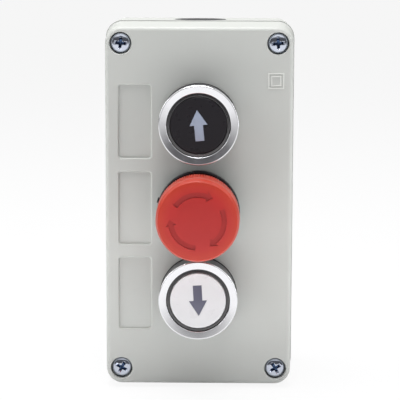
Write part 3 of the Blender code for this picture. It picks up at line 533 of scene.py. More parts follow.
def soften(profile):
    """Replaces each corner that names a radius with an arc of short steps."""
    points = []
    count = len(profile)
    for i, corner in enumerate(profile):
        here = Vector(corner[:2])
        radius = corner[2] if len(corner) > 2 else 0.0
        if radius == 0.0:
            points.append(tuple(here))
            continue
        back = (Vector(profile[i - 1][:2]) - here).normalized()
        on = (Vector(profile[(i + 1) % count][:2]) - here).normalized()
        half = back.angle(on) / 2
        reach = radius / math.tan(half)
        centre = here + (back + on).normalized() * radius / math.sin(half)
        start = here + back * reach - centre
        sweep = start.angle_signed(here + on * reach - centre)
        steps = max(3, int(abs(sweep) / math.radians(16)))
        for step in range(steps + 1):
            angle = -sweep * step / steps
            turned = Matrix.Rotation(angle, 2) @ start
            points.append(tuple(centre + turned))
    return points


def turn_on_lathe(name, profile, facets, place=(0.0, 0.0), along="Y", closed=True):
    """Spins a profile of (radius, height, corner radius) in mm about an axis.

    Along Y a height is measured from the cover's face towards the front and the place is (x, z).
    Along Z it is measured from the middle and the place is (x, y). A profile that starts and ends on
    the axis isn't closed.
    """
    line = soften([tuple(value * MM for value in corner) for corner in profile])
    if along == "Y":
        points = [(place[0] + radius, FACE_Y - height, place[1]) for radius, height in line]
        centre, axis = (place[0], 0.0, place[1]), (0.0, 1.0, 0.0)
    else:
        points = [(place[0] + radius, place[1], height) for radius, height in line]
        centre, axis = (place[0], place[1], 0.0), (0.0, 0.0, 1.0)
    if closed:
        points.append(points[0])
    piece = draw_line(name, points)
    bpy.ops.mesh.select_all(action="SELECT")
    bpy.ops.mesh.spin(steps=facets, angle=math.tau, center=centre, axis=axis, use_auto_merge=True)
    merge_and_turn_out(2 * NEAR)
    leave()
    return piece


def rod(name, radius, low, high, facets, place):
    """A plain round cutter between two heights in mm, an open end of which runs past what it cuts."""
    profile = [(0, low), (radius, low), (radius, high), (0, high)]
    return turn_on_lathe(name, profile, facets, place, closed=False)


def press_outline(name, outline, start, end):
    """Fills an outline of (x, z) points and pulls it from start to end along Y."""
    points = [(x, start, z) for x, z in outline]
    piece = draw_line(name, points + [points[0]])
    bpy.ops.mesh.select_all(action="SELECT")
    bpy.ops.mesh.remove_doubles(threshold=NEAR)
    bpy.ops.mesh.edge_face_add()
    pull = {"value": (0.0, end - start, 0.0)}
    bpy.ops.mesh.extrude_region_move(TRANSFORM_OT_translate=pull)
    bpy.ops.mesh.select_all(action="SELECT")
    bpy.ops.mesh.normals_make_consistent(inside=False)
    leave()
    return piece


def combine(piece, tool, operation="DIFFERENCE"):
    """Cuts a tool out of a piece, or adds it, and throws the tool away."""
    modify(piece, "BOOLEAN", object=tool, operation=operation, solver="EXACT")
    bpy.data.objects.remove(tool, do_unlink=True)


def ease_edges(piece, width, segments, angle=35.0):
    """Rounds what is still sharp with a bevel."""
    modify(
        piece, "BEVEL", width=width, segments=segments, limit_method="ANGLE",
        angle_limit=math.radians(angle), use_clamp_overlap=True,
    )


def smooth(piece, angle=35.0, weighted=False):
    """Shades round faces smooth and keeps flat ones flat."""
    choose(piece)
    bpy.ops.object.shade_smooth_by_angle(angle=math.radians(angle))
    if weighted:
        modify(piece, "WEIGHTED_NORMAL", keep_sharp=True, weight=100)


def give(piece, material, body, node):
    """Gives a finished piece its material, its body and the node that it stands for."""
    piece.data.materials.clear()
    piece.data.materials.append(material)
    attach(piece, body)
    if node:
        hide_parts(node)


def refinish(piece, material, test):
    """Gives the faces of a piece that pass a test their own material."""
    piece.data.materials.append(material)
    edit(piece)
    select(piece, "FACE", test)
    piece.active_material_index = 1
    bpy.ops.object.material_slot_assign()
    leave()


def copy_of(piece, name, move=(0.0, 0.0, 0.0), turn=0.0, centre=(0.0, 0.0, 0.0)):
    """A copy with its own mesh, turned about Y and moved in its mesh."""
    twin = piece.copy()
    twin.data = piece.data.copy()
    twin.name = name
    twin.data.name = name
    bpy.context.collection.objects.link(twin)
    middle = Matrix.Translation(Vector(centre))
    turned = middle @ Matrix.Rotation(turn, 4, "Y") @ middle.inverted()
    twin.data.transform(Matrix.Translation(Vector(move)) @ turned)
    return twin


def turned_outline(outline, angle, place=(0.0, 0.0)):
    cos, sin = math.cos(angle), math.sin(angle)
    return [(place[0] + x * cos - z * sin, place[1] + x * sin + z * cos) for x, z in outline]


def corners():
    return {
        "top_left": (-SCREW_X, SCREW_Z), "top_right": (SCREW_X, SCREW_Z),
        "bottom_left": (-SCREW_X, -SCREW_Z), "bottom_right": (SCREW_X, -SCREW_Z),
    }


# Enclosure


class STATION_OT_rear_housing(bpy.types.Operator):
    """Moulds the rear housing: a tray with screw pillars, fixing holes, a cable entry and a knock-out"""

    bl_idname = "station.rear_housing"
    bl_label = "Rear housing"

    def execute(self, context):
        size = sizes()
        housing = add_block("rear_housing_moulding", HOUSING_LOW, HOUSING_HIGH)
        round_uprights(housing, size.housing_corner, 10)
        round_end(housing, HOUSING_HIGH.y, size.back_edge, 4)
        low = HOUSING_LOW + Vector((size.wall, -size.wall, size.wall))
        high = HOUSING_HIGH - Vector((size.wall, size.wall, size.wall))
        tray = add_block("tray", low, high)
        for place in corners().values():
            combine(tray, rod("pillar", size.pillar / MM, -60.0, 10.0, 32, place))
        combine(housing, tray)
        self.cut_entries(housing, size.entry / MM)
        self.cut_fixing_holes(housing)
        for place in corners().values():
            combine(housing, rod("pilot_hole", size.shank_hole / MM, -32.6, 0.0, 16, place))
        smooth(housing, 35.0, weighted=True)
        give(housing, abs_spark_eroded(), "box", "rear_housing")
        return {"FINISHED"}

    def cut_entries(self, housing, entry):
        """Cuts the cable entry in the top wall and the groove round the knock-out in the bottom wall."""
        top = HOUSING_HIGH.z / MM
        middle = (0.0, ENTRY_Y)
        chamfer = 0.35
        mouth = [
            (0, top - 5), (entry, top - 5), (entry, top - chamfer), (entry + chamfer, top),
            (entry + chamfer, top + 3), (0, top + 3),
        ]
        combine(housing, turn_on_lathe("entry_hole", mouth, 64, middle, "Z", closed=False))
        width, depth = 0.8, 1.8
        groove = [
            (entry - width, -top - 1), (entry, -top - 1), (entry, -top + depth, 0.2),
            (entry - width, -top + depth, 0.2),
        ]
        combine(housing, turn_on_lathe("knockout_groove", groove, 64, middle, "Z"))

    def cut_fixing_holes(self, housing):
        """Cuts the holes for the countersunk wall screws, which go in from inside."""
        shank, head = 2.3, 4.3
        sink = [(0, -55.0), (shank, -55.0), (shank, -49.0), (head, -47.0), (head, -46.5), (0, -46.5)]
        across, up = HOUSING_HIGH.x - 15.0 * MM, HOUSING_HIGH.z - 16.0 * MM
        for x in (-1, 1):
            for z in (-1, 1):
                hole = turn_on_lathe("fixing_hole", sink, 24, (x * across, z * up), closed=False)
                combine(housing, hole)


class STATION_OT_front_cover(bpy.types.Operator):
    """Moulds the front cover: drafted sides, a rounded face, screw wells, label recesses and three holes"""

    bl_idname = "station.front_cover"
    bl_label = "Front cover"

    # Cuts across a recess, in mm: how deep each lies, and how much wider the mouth gets there
    lip_cuts = ((0.48, 0.08), (0.32, 0.2), (0.16, 0.34), (0.06, 0.32), (0.0, 0.36))

    def execute(self, context):
        size = sizes()
        cover = add_block("front_cover_moulding", COVER_LOW, COVER_HIGH)
        round_uprights(cover, size.cover_corner, 10)
        wide, tall = COVER_HIGH.x, COVER_HIGH.z
        draw_in(cover, FACE_Y, (wide - size.cover_draft_side) / wide, (tall - size.cover_draft_end) / tall)
        round_end(cover, FACE_Y, size.face_edge, 6)

        cavity_low = Vector((-wide + size.wall, FACE_Y + size.wall, -tall + size.wall))
        cavity_high = (wide - size.wall, COVER_HIGH.y + size.wall, tall - size.wall)
        cavity = add_block("cavity", cavity_low, cavity_high)
        draw_in(cavity, cavity_low.y, 0.97, 0.98)
        for place in corners().values():
            combine(cavity, rod("pillar", size.pillar / MM, -40.0, 10.0, 32, place))
        combine(cover, cavity)

        hole = size.operator_hole / MM
        for z in (UP_Z, 0.0, DOWN_Z):
            combine(cover, rod("operator_hole", hole, -8.0, 3.0, 64, (0.0, z)))
        well = size.well / MM
        floor = -size.well_depth / MM
        # The well's mouth is slightly flared, as its core pin leaves it
        flare = 0.22
        mouth = [
            (0, floor), (well, floor, 0.3), (well, -0.3), (well + flare, 0.0), (well + flare, 2.0), (0, 2.0),
        ]
        for place in corners().values():
            combine(cover, turn_on_lathe("screw_well", mouth, 48, place, closed=False))
            combine(cover, rod("shank_hole", size.shank_hole / MM, -25.0, floor + 1.0, 20, place))
        for z in (UP_Z, 0.0, DOWN_Z):
            combine(cover, self.label_recess(size, z))
        smooth(cover, 40.0, weighted=True)
        give(cover, abs_spark_eroded(), "box", "front_cover")
        return {"FINISHED"}

    def label_recess(self, size, z):
        """A cutter with a flat floor, whose mouth flares so that the cover gets a rounded lip."""
        low = (-size.recess_left, FACE_Y - 2.0 * MM, z - size.recess_height / 2)
        high = (-size.recess_right, FACE_Y + size.recess_depth, z + size.recess_height / 2)
        cutter = add_block("label_recess", low, high)
        round_uprights(cutter, 1.1 * MM, 6)
        wide = size.recess_left - size.recess_right
        tall = size.recess_height
        middle = (-(size.recess_left + size.recess_right) / 2, FACE_Y, z)
        edit(cutter)
        for depth, grow in self.lip_cuts:
            bpy.ops.mesh.select_all(action="SELECT")
            bpy.ops.mesh.bisect(plane_co=(0.0, FACE_Y + depth * MM, 0.0), plane_no=(0.0, 1.0, 0.0))
            select(cutter, "VERT", lambda vert: vert.co.y < FACE_Y + depth * MM + NEAR)
            stretch = ((wide + grow * MM) / wide, 1.0, (tall + grow * MM) / tall)
            bpy.ops.transform.resize(value=stretch, center_override=middle)
            wide += grow * MM
            tall += grow * MM
        leave()
        return cutter


class STATION_OT_insulation_mark(bpy.types.Operator):
    """Raises the plain square-in-square mark of double insulation on the cover"""

    bl_idname = "station.insulation_mark"
    bl_label = "Double-insulation mark"

    def execute(self, context):
        size = sizes()
        line = 0.5 * MM
        outer = self.frame("mark_outer", size.mark_size, line)
        inner = self.frame("mark_inner", size.mark_size * 0.65, line)
        choose(outer)
        inner.select_set(True)
        bpy.ops.object.join()
        mark = name_active("double_insulation_mark")
        smooth(mark, 35.0)
        give(mark, abs_smooth_painted_highlight(), "box", None)
        return {"FINISHED"}

    def frame(self, name, side, line):
        """A square frame with rounded lines, sunk a little in the face."""
        size = sizes()
        proud, sunk, clear = 0.28 * MM, 0.1 * MM, 1 * MM
        low = (size.mark_x - side / 2, FACE_Y - proud, size.mark_z - side / 2)
        high = (size.mark_x + side / 2, FACE_Y + sunk, size.mark_z + side / 2)
        piece = add_block(name, low, high)
        low = (size.mark_x - side / 2 + line, FACE_Y - clear, size.mark_z - side / 2 + line)
        high = (size.mark_x + side / 2 - line, FACE_Y + clear, size.mark_z + side / 2 - line)
        combine(piece, add_block("mark_window", low, high))
        ease_edges(piece, 0.1 * MM, 2)
        return piece


class STATION_OT_grommet(bpy.types.Operator):
    """Turns the dished rubber grommet that closes the cable entry"""

    bl_idname = "station.grommet"
    bl_label = "Cable entry grommet"

    def execute(self, context):
        top = HOUSING_HIGH.z / MM
        outer, flange = 9.9, 11.1
        profile = [
            (0, top - 1.0), (outer * 0.65, top - 1.0, 1.2), (outer * 0.75, top, 0.5), (outer, top, 0.3),
            (outer, top - 3.3), (flange, top - 3.3, 0.2), (flange, top - 4.8, 0.3),
            (outer * 0.75, top - 4.8), (outer * 0.65, top - 2.5), (0, top - 2.5),
        ]
        grommet = turn_on_lathe("entry_grommet", profile, 72, (0.0, ENTRY_Y), "Z", closed=False)
        smooth(grommet, 40.0)
        give(grommet, epdm_rubber(), "box", "cable_entry_grommet")
        return {"FINISHED"}


class STATION_OT_cover_screws(bpy.types.Operator):
    """Makes the pan-head cover screws with a tapered cross recess"""

    bl_idname = "station.cover_screws"
    bl_label = "Cover screws"

    # How far each cross is turned, in degrees clockwise from upright as seen from the front
    turns = {"top_left": 6.0, "top_right": -4.0, "bottom_left": 28.0, "bottom_right": -30.0}

    def execute(self, context):
        seat, head, shank, tip = -3.3, 3.62, 1.75, -32.0
        top = seat + 2.4
        # A low pan head: it swells by half a millimetre and falls off steeply at its edge
        profile = [
            (0, top), (1.2, top - 0.05), (2.0, top - 0.14), (2.7, top - 0.29), (3.2, top - 0.46, 0.4),
            (head, top - 0.85, 0.25), (head, seat, 0.1), (shank, seat), (shank, tip + 1.8), (0.9, tip),
            (0, tip),
        ]
        centre = (SCREW_X, SCREW_Z)
        middle = (SCREW_X, 0.0, SCREW_Z)
        first = turn_on_lathe("screw", profile, 48, centre, closed=False)
        for turn in (0.0, math.radians(90)):
            wing = self.wing(top)
            combine(first, copy_of(wing, "wing", turn=turn, centre=middle))
            bpy.data.objects.remove(wing, do_unlink=True)
        heart = [(0, top + 0.5), (0.85, top + 0.5), (0.85, top - 0.5), (0.35, top - 1.9), (0, top - 2.0)]
        combine(first, turn_on_lathe("heart", heart, 20, centre, closed=False))
        ease_edges(first, 0.08 * MM, 2, 40.0)
        smooth(first, 40.0)
        plate = zinc_plate_painted_cross_shade()
        for corner, (x, z) in corners().items():
            move = (x - SCREW_X, 0.0, z - SCREW_Z)
            turn = math.radians(self.turns[corner])
            screw = copy_of(first, "pan_screw_" + corner, move, turn, middle)
            give(screw, plate, "box", "cover_screw_" + corner)
        bpy.data.objects.remove(first, do_unlink=True)
        return {"FINISHED"}

    def wing(self, top):
        """One slot of the cross, narrower and shorter at its floor."""
        y = FACE_Y - top * MM
        reach, half = 2.7 * MM, 0.62 * MM
        low = (SCREW_X - reach, y - 0.4 * MM, SCREW_Z - half)
        high = (SCREW_X + reach, y + 1.6 * MM, SCREW_Z + half)
        wing = add_block("wing_blank", low, high)
        edit(wing)
        select(wing, "FACE", lambda face: face.normal.y > 0.9)
        bpy.ops.transform.resize(value=(0.45, 1.0, 0.6), center_override=(SCREW_X, y, SCREW_Z))
        leave()
        return wing


# Pushbuttons


class STATION_OT_panel_gaskets(bpy.types.Operator):
    """Cuts the three flat rubber washers between the cover and the operators"""

    bl_idname = "station.panel_gaskets"
    bl_label = "Panel gaskets"

    def execute(self, context):
        inner, outer, back, front = 11.5, 14.35, 0.3, 1.3
        profile = [(inner, back, 0.1), (outer, back, 0.25), (outer, front, 0.25), (inner, front, 0.1)]
        for prefix, z in (("up", UP_Z), ("stop", 0.0), ("down", DOWN_Z)):
            gasket = turn_on_lathe(prefix + "_washer", profile, 72, (0.0, z))
            smooth(gasket, 45.0)
            give(gasket, epdm_rubber(), "box", prefix + "_panel_gasket")
        return {"FINISHED"}


class STATION_OT_bezels(bpy.types.Operator):
    """Turns the chrome bezels with their slightly dished faces and their barrels"""

    bl_idname = "station.bezels"
    bl_label = "Bezels"

    def execute(self, context):
        size = operators()
        rim = size.bezel / MM
        opening = size.bezel_opening / MM
        top = size.bezel_top / MM
        edge = size.bezel_edge / MM
        seat = size.seat / MM
        barrel = size.barrel / MM
        bore = barrel - 2.2
        ledge = seat + 2.0
        wall = rim - 0.4
        profile = [
            (wall, seat, 0.15), (wall, edge - 1.1, 0.3), (rim, edge - 0.7, 0.3), (rim, top, 0.32),
            (rim - 0.55, top - 0.04), (opening, top - 0.25, 0.24), (opening, ledge, 0.2), (bore, ledge, 0.2),
            (bore, BARREL_END, 0.2), (barrel, BARREL_END, 0.3), (barrel, seat),
        ]
        for prefix, z in (("up", UP_Z), ("down", DOWN_Z)):
            bezel = turn_on_lathe(prefix + "_chrome_bezel", profile, 120, (0.0, z))
            smooth(bezel, 40.0, weighted=True)
            give(bezel, satin_chrome(), "box", prefix + "_bezel")
            self.paint_wall_shade(bezel, z, (rim - 0.6) * MM, FACE_Y - (edge - 0.9) * MM)
        return {"FINISHED"}

    def paint_wall_shade(self, bezel, z, radius, front):
        """Gives the outer wall behind the rim a darker chrome, which is painted shade."""
        def on_wall(face):
            middle = face.calc_center_median()
            return middle.y > front and math.hypot(middle.x, middle.z - z) > radius

        refinish(bezel, chrome_wall_painted_shade(), on_wall)


class STATION_OT_guide_sleeves(bpy.types.Operator):
    """Moulds the black sleeves that guide the caps, each with a flat rim and a thin bead round the cap"""

    bl_idname = "station.guide_sleeves"
    bl_label = "Guide sleeves"

    def execute(self, context):
        outer, bore, skirt, skirt_bore = 11.45, 10.4, 8.4, 7.5
        rim, bead, ledge, step = 12.4, 12.75, 5.2, 3.9
        profile = [
            (outer, step), (outer, rim, 0.1), (10.86, rim, 0.06), (10.8, bead, 0.14), (10.42, bead, 0.14),
            (bore, ledge), (skirt_bore, ledge), (skirt_bore, GUIDE_FLOOR), (STEM_BORE, GUIDE_FLOOR),
            (STEM_BORE, BARREL_END), (skirt, BARREL_END), (skirt, step),
        ]
        for prefix, z in (("up", UP_Z), ("down", DOWN_Z)):
            sleeve = turn_on_lathe(prefix + "_sleeve", profile, 96, (0.0, z))
            smooth(sleeve, 40.0)
            give(sleeve, acetal_polished(), "box", prefix + "_guide_sleeve")
        return {"FINISHED"}


def straight_arrow(turn, place, grow=0.0):
    """An arrow that points up, turned anticlockwise as seen from the front."""
    half = operators().arrow_length / 2
    barb, barb_reach, shaft = half - 5.6 * MM - grow, 3.25 * MM + 2 * grow, 1.6 * MM + grow
    left = [(0.0, half + 2 * grow), (-barb_reach, barb), (-shaft, barb), (-shaft, -half - grow)]
    outline = left + [(-x, z) for x, z in reversed(left[1:])]
    return turned_outline(outline, turn, place)


class STATION_OT_caps(bpy.types.Operator):
    """Moulds the black and the white cap, each with an inlaid arrow"""

    bl_idname = "station.caps"
    bl_label = "Caps and arrows"

    def execute(self, context):
        colours = finishes()
        white = cap_plastic("Polycarbonate_white", colours.white, 0.3)
        black = cap_plastic("Polycarbonate_black", colours.black, 0.3, 1.38)
        pale = cap_plastic("Inlay_pale_grey", colours.pale_arrow, 0.38)
        dark = cap_plastic("Inlay_dark_grey", colours.dark_arrow, 0.38)
        self.cap("up", UP_Z, math.radians(5.8), black, pale, "black_plastic", "pale_insert")
        self.cap("down", DOWN_Z, math.radians(183.2), white, dark, "white_plastic", "dark_insert")
        return {"FINISHED"}

    def cap(self, prefix, z, turn, plastic, inlay, slot, arrow_slot):
        size = operators()
        radius = size.cap / MM
        top = size.cap_top / MM
        skirt_end, inside, ceiling = 10.0, radius - 1.1, top - 1.8
        profile = [
            (0, top), (radius, top, 0.4), (radius, skirt_end, 0.2), (inside, skirt_end, 0.2),
            (inside, ceiling), (STEM, ceiling), *SNAP_FOOT,
        ]
        cap = turn_on_lathe(prefix + "_button_cap", profile, 96, (0.0, z), closed=False)
        pocket_floor = FACE_Y - (top - 0.9) * MM
        pocket = straight_arrow(turn, (0.0, z), 0.06 * MM)
        combine(cap, press_outline("arrow_pocket", pocket, pocket_floor, FACE_Y - 20 * MM))
        smooth(cap, 40.0, weighted=True)
        body = prefix + "_button"
        give(cap, plastic, body, prefix + "_cap")
        face = FACE_Y - top * MM
        outline = straight_arrow(turn, (0.0, z))
        arrow = press_outline(prefix + "_arrow_inlay", outline, face + 0.6 * MM, face)
        ease_edges(arrow, 0.05 * MM, 2)
        smooth(arrow, 35.0)
        give(arrow, inlay, body, prefix + "_arrow")


# Emergency stop


class STATION_OT_stop_ring(bpy.types.Operator):
    """Moulds the black ring and barrel under the mushroom, with its index tab"""

    bl_idname = "station.stop_ring"
    bl_label = "Stop ring"

    def execute(self, context):
        size = operators()
        ring = size.ring / MM
        top = size.ring_top / MM
        seat = size.seat / MM
        barrel = size.barrel / MM
        foot, mouth, bore = ring - 1.1, 11.2, 8.7
        profile = [
            (foot, seat, 0.2), (foot, seat + 0.8, 0.5), (ring, seat + 5.4, 1.0), (ring, top, 0.5),
            (12.0, top, 0.9), (mouth, top - 1.0, 0.4), (mouth, seat + 0.6, 0.2), (bore, seat + 0.6),
            (bore, GUIDE_FLOOR), (STEM_BORE, GUIDE_FLOOR), (STEM_BORE, BARREL_END),
            (barrel, BARREL_END, 0.3), (barrel, seat),
        ]
        base = turn_on_lathe("stop_ring_and_barrel", profile, 96)
        half = 0.9 * MM
        near, far = -(ring - 1.0) * MM, -(ring + 0.5) * MM
        outline = turned_outline([(far, -half), (near, -half), (near, half), (far, half)], math.radians(-16))
        tab = press_outline("index_tab", outline, FACE_Y - (top - 2.7) * MM, FACE_Y - (top - 0.4) * MM)
        ease_edges(tab, 0.15 * MM, 2)
        combine(base, tab, "UNION")
        smooth(base, 40.0, weighted=True)
        give(base, acetal_black(), "box", "stop_base")
        return {"FINISHED"}


class STATION_OT_stop_stem(bpy.types.Operator):
    """Turns the stem of the emergency stop: spigot, neck, shoulder and snap foot"""

    bl_idname = "station.stop_stem"
    bl_label = "Stop stem"

    def execute(self, context):
        spigot, neck = 6.7, 10.6
        tip, neck_top, neck_end = 23.8, 14.8, 8.0
        profile = [
            (0, tip), (spigot, tip, 0.5), (spigot, neck_top), (neck, neck_top, 0.3), (neck, neck_end, 0.4),
            (spigot, neck_end), (spigot, 6.0, 0.2), (STEM, 6.0), *SNAP_FOOT,
        ]
        stem = turn_on_lathe("stop_spindle", profile, 72, closed=False)
        smooth(stem, 40.0)
        give(stem, acetal_black(), "stop_slider", "stop_stem")
        return {"FINISHED"}


class STATION_OT_mushroom(bpy.types.Operator):
    """Moulds the red mushroom: low dome, rounded shoulder, knurled rim and three sunk turning arrows"""

    bl_idname = "station.mushroom"
    bl_label = "Mushroom"

    def execute(self, context):
        size = operators()
        radius = size.mushroom / MM
        top = size.mushroom_top / MM
        bottom = size.mushroom_bottom / MM
        knurl_top, arrow_depth, socket = top - 6.5, 0.6, 7.0
        # The face swells by 0.3 mm, so that its middle and its border shine differently
        dome = [(reach, top - 0.0021 * reach ** 2) for reach in (0, 3, 6, 8.5, 10.5, 12)]
        profile = dome + [
            (radius - 0.9, top - 0.36, 0.25), (radius - 0.12, top - 2.5, 0.5), (radius, top - 6.3),
            (radius, top - 6.6), (radius, bottom + 1.15), (radius - 0.6, bottom + 0.85, 0.3),
            (10.6, bottom, 0.3), (socket, bottom, 0.2), (socket, bottom + 9.0), (0, bottom + 9.0),
        ]
        head = turn_on_lathe("stop_mushroom_head", profile, size.ribs * 4, closed=False)
        front, back = FACE_Y - knurl_top * MM, FACE_Y - (bottom + 1.1) * MM
        self.knurl(head, radius * MM, front, back, size.ribs)
        floor = FACE_Y - (top - arrow_depth) * MM
        for turn in range(3):
            outline = self.turning_arrow(math.radians(146.0 - 120.0 * turn))
            combine(head, press_outline("turning_arrow", outline, floor, FACE_Y - 34 * MM))
        smooth(head, 40.0, weighted=True)
        give(head, mushroom_red("ABS_red_satin_painted_rim_light", 1.0), "stop_mushroom", "stop_head")
        self.shade_arrow_floors(head, floor)
        return {"FINISHED"}

    def shade_arrow_floors(self, head, floor):
        """Gives the floors of the sunk arrows a darker red, which is painted shade of the recess."""
        def on_floor(face):
            middle = face.calc_center_median()
            return abs(middle.y - floor) < 0.05 * MM and math.hypot(middle.x, middle.z) < 12 * MM

        refinish(head, mushroom_red("ABS_red_arrow_floors_painted_shade", 0.87), on_floor)

    def knurl(self, head, radius, front, back, ribs):
        """Pulls every fourth column of the rim inwards, which leaves rounded ribs between the grooves."""
        pitch = math.tau / ribs

        def in_groove(vert):
            on_rim = math.hypot(vert.co.x, vert.co.z) >= radius - 0.1 * MM
            share = (math.atan2(vert.co.z, vert.co.x) / pitch) % 1.0
            return on_rim and front - NEAR < vert.co.y < back + NEAR and min(share, 1.0 - share) < 0.1

        edit(head)
        select(head, "VERT", in_groove)
        pinch = (radius - 0.34 * MM) / radius
        bpy.ops.transform.resize(value=(pinch, 1.0, pinch), center_override=(0.0, 0.0, 0.0))
        leave()

    def turning_arrow(self, start):
        """A curved arrow that runs clockwise from its start angle."""
        inner, outer = 8.52, 10.38
        neck = start - math.radians(76.5)
        tip = start - math.radians(89.5)
        lean = math.radians(1.5)
        angles = [start + (neck - start) * step / 14 for step in range(15)]
        spots = [(outer, angle) for angle in angles]
        spots += [(11.5, neck + lean), (9.9, tip), (7.6, neck - lean)]
        spots += [(inner, angle) for angle in reversed(angles)]
        return [(r * MM * math.cos(angle), r * MM * math.sin(angle)) for r, angle in spots]


class STATION_OT_springs(bpy.types.Operator):
    """Winds the springs under the caps and the stem"""

    bl_idname = "station.springs"
    bl_label = "Springs"

    def execute(self, context):
        self.spring("up_return_spring", "up_spring", UP_Z, 4, "up_press")
        self.spring("down_return_spring", "down_spring", DOWN_Z, 4, "down_press")
        self.spring("stop_spring", "stop_coil", 0.0, 3, "stop_press")
        return {"FINISHED"}

    def spring(self, node, name, z, turns, joint):
        low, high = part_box(node)
        wire = 0.45 * MM
        span = high.y - low.y
        start_clean()
        bpy.ops.mesh.primitive_circle_add(vertices=10, radius=wire)
        spring = name_active(name)
        bpy.ops.object.mode_set(mode="EDIT")
        bpy.ops.transform.translate(value=((high.x - low.x) / 2 - wire, 0.0, 0.0))
        leave()
        rise = (span - 2 * wire) / turns
        modify(spring, "SCREW", axis="Y", iterations=turns, screw_offset=rise, steps=28, render_steps=28)
        edit(spring)
        bpy.ops.mesh.select_all(action="SELECT")
        bpy.ops.mesh.remove_doubles(threshold=NEAR)
        bpy.ops.mesh.fill_holes(sides=0)
        bpy.ops.mesh.select_all(action="SELECT")
        bpy.ops.mesh.normals_make_consistent(inside=False)
        bpy.ops.transform.translate(value=(0.0, low.y + wire, z))
        leave()
        smooth(spring, 60.0)
        give(spring, spring_wire(), "box", node)
        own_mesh(spring)


class STATION_OT_inner_finishes(bpy.types.Operator):
    """Gives the pieces behind the cover their finishes"""

    bl_idname = "station.inner_finishes"
    bl_label = "Inner finishes"

    def execute(self, context):
        self.finish(["cover_gasket"], epdm_rubber())
        green = contact_nylon("Nylon_green_moulded", "2E7F4A")
        red = contact_nylon("Nylon_red_moulded", "B4372F")
        self.finish(["up_contact_block", "down_contact_block"], green)
        self.finish(["stop_contact_block"], red)
        for prefix in ("up", "down", "stop"):
            self.finish([prefix + "_fixing_collar"], die_cast_zinc())
            self.finish([prefix + "_contact_plunger"], acetal_black())
            for kind in ("_collar_screw_", "_terminal_screw_"):
                self.finish([prefix + kind + "1", prefix + kind + "2"], zinc_plate())
        return {"FINISHED"}

    def finish(self, names, material):
        for name in names:
            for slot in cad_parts[name].material_slots:
                slot.material = material


# Stage


def background_rays(owner, path):
    """One for the rays that see the background: the camera's, and those through glass and in metal."""
    value = path.outputs["Is Camera Ray"]
    for kind in ("Is Transmission Ray", "Is Glossy Ray"):
        either = add_node(
            owner, "ShaderNodeMath", {"operation": "MAXIMUM"}, {0: value, 1: path.outputs[kind]}
        )
        value = either.outputs["Value"]
    return value


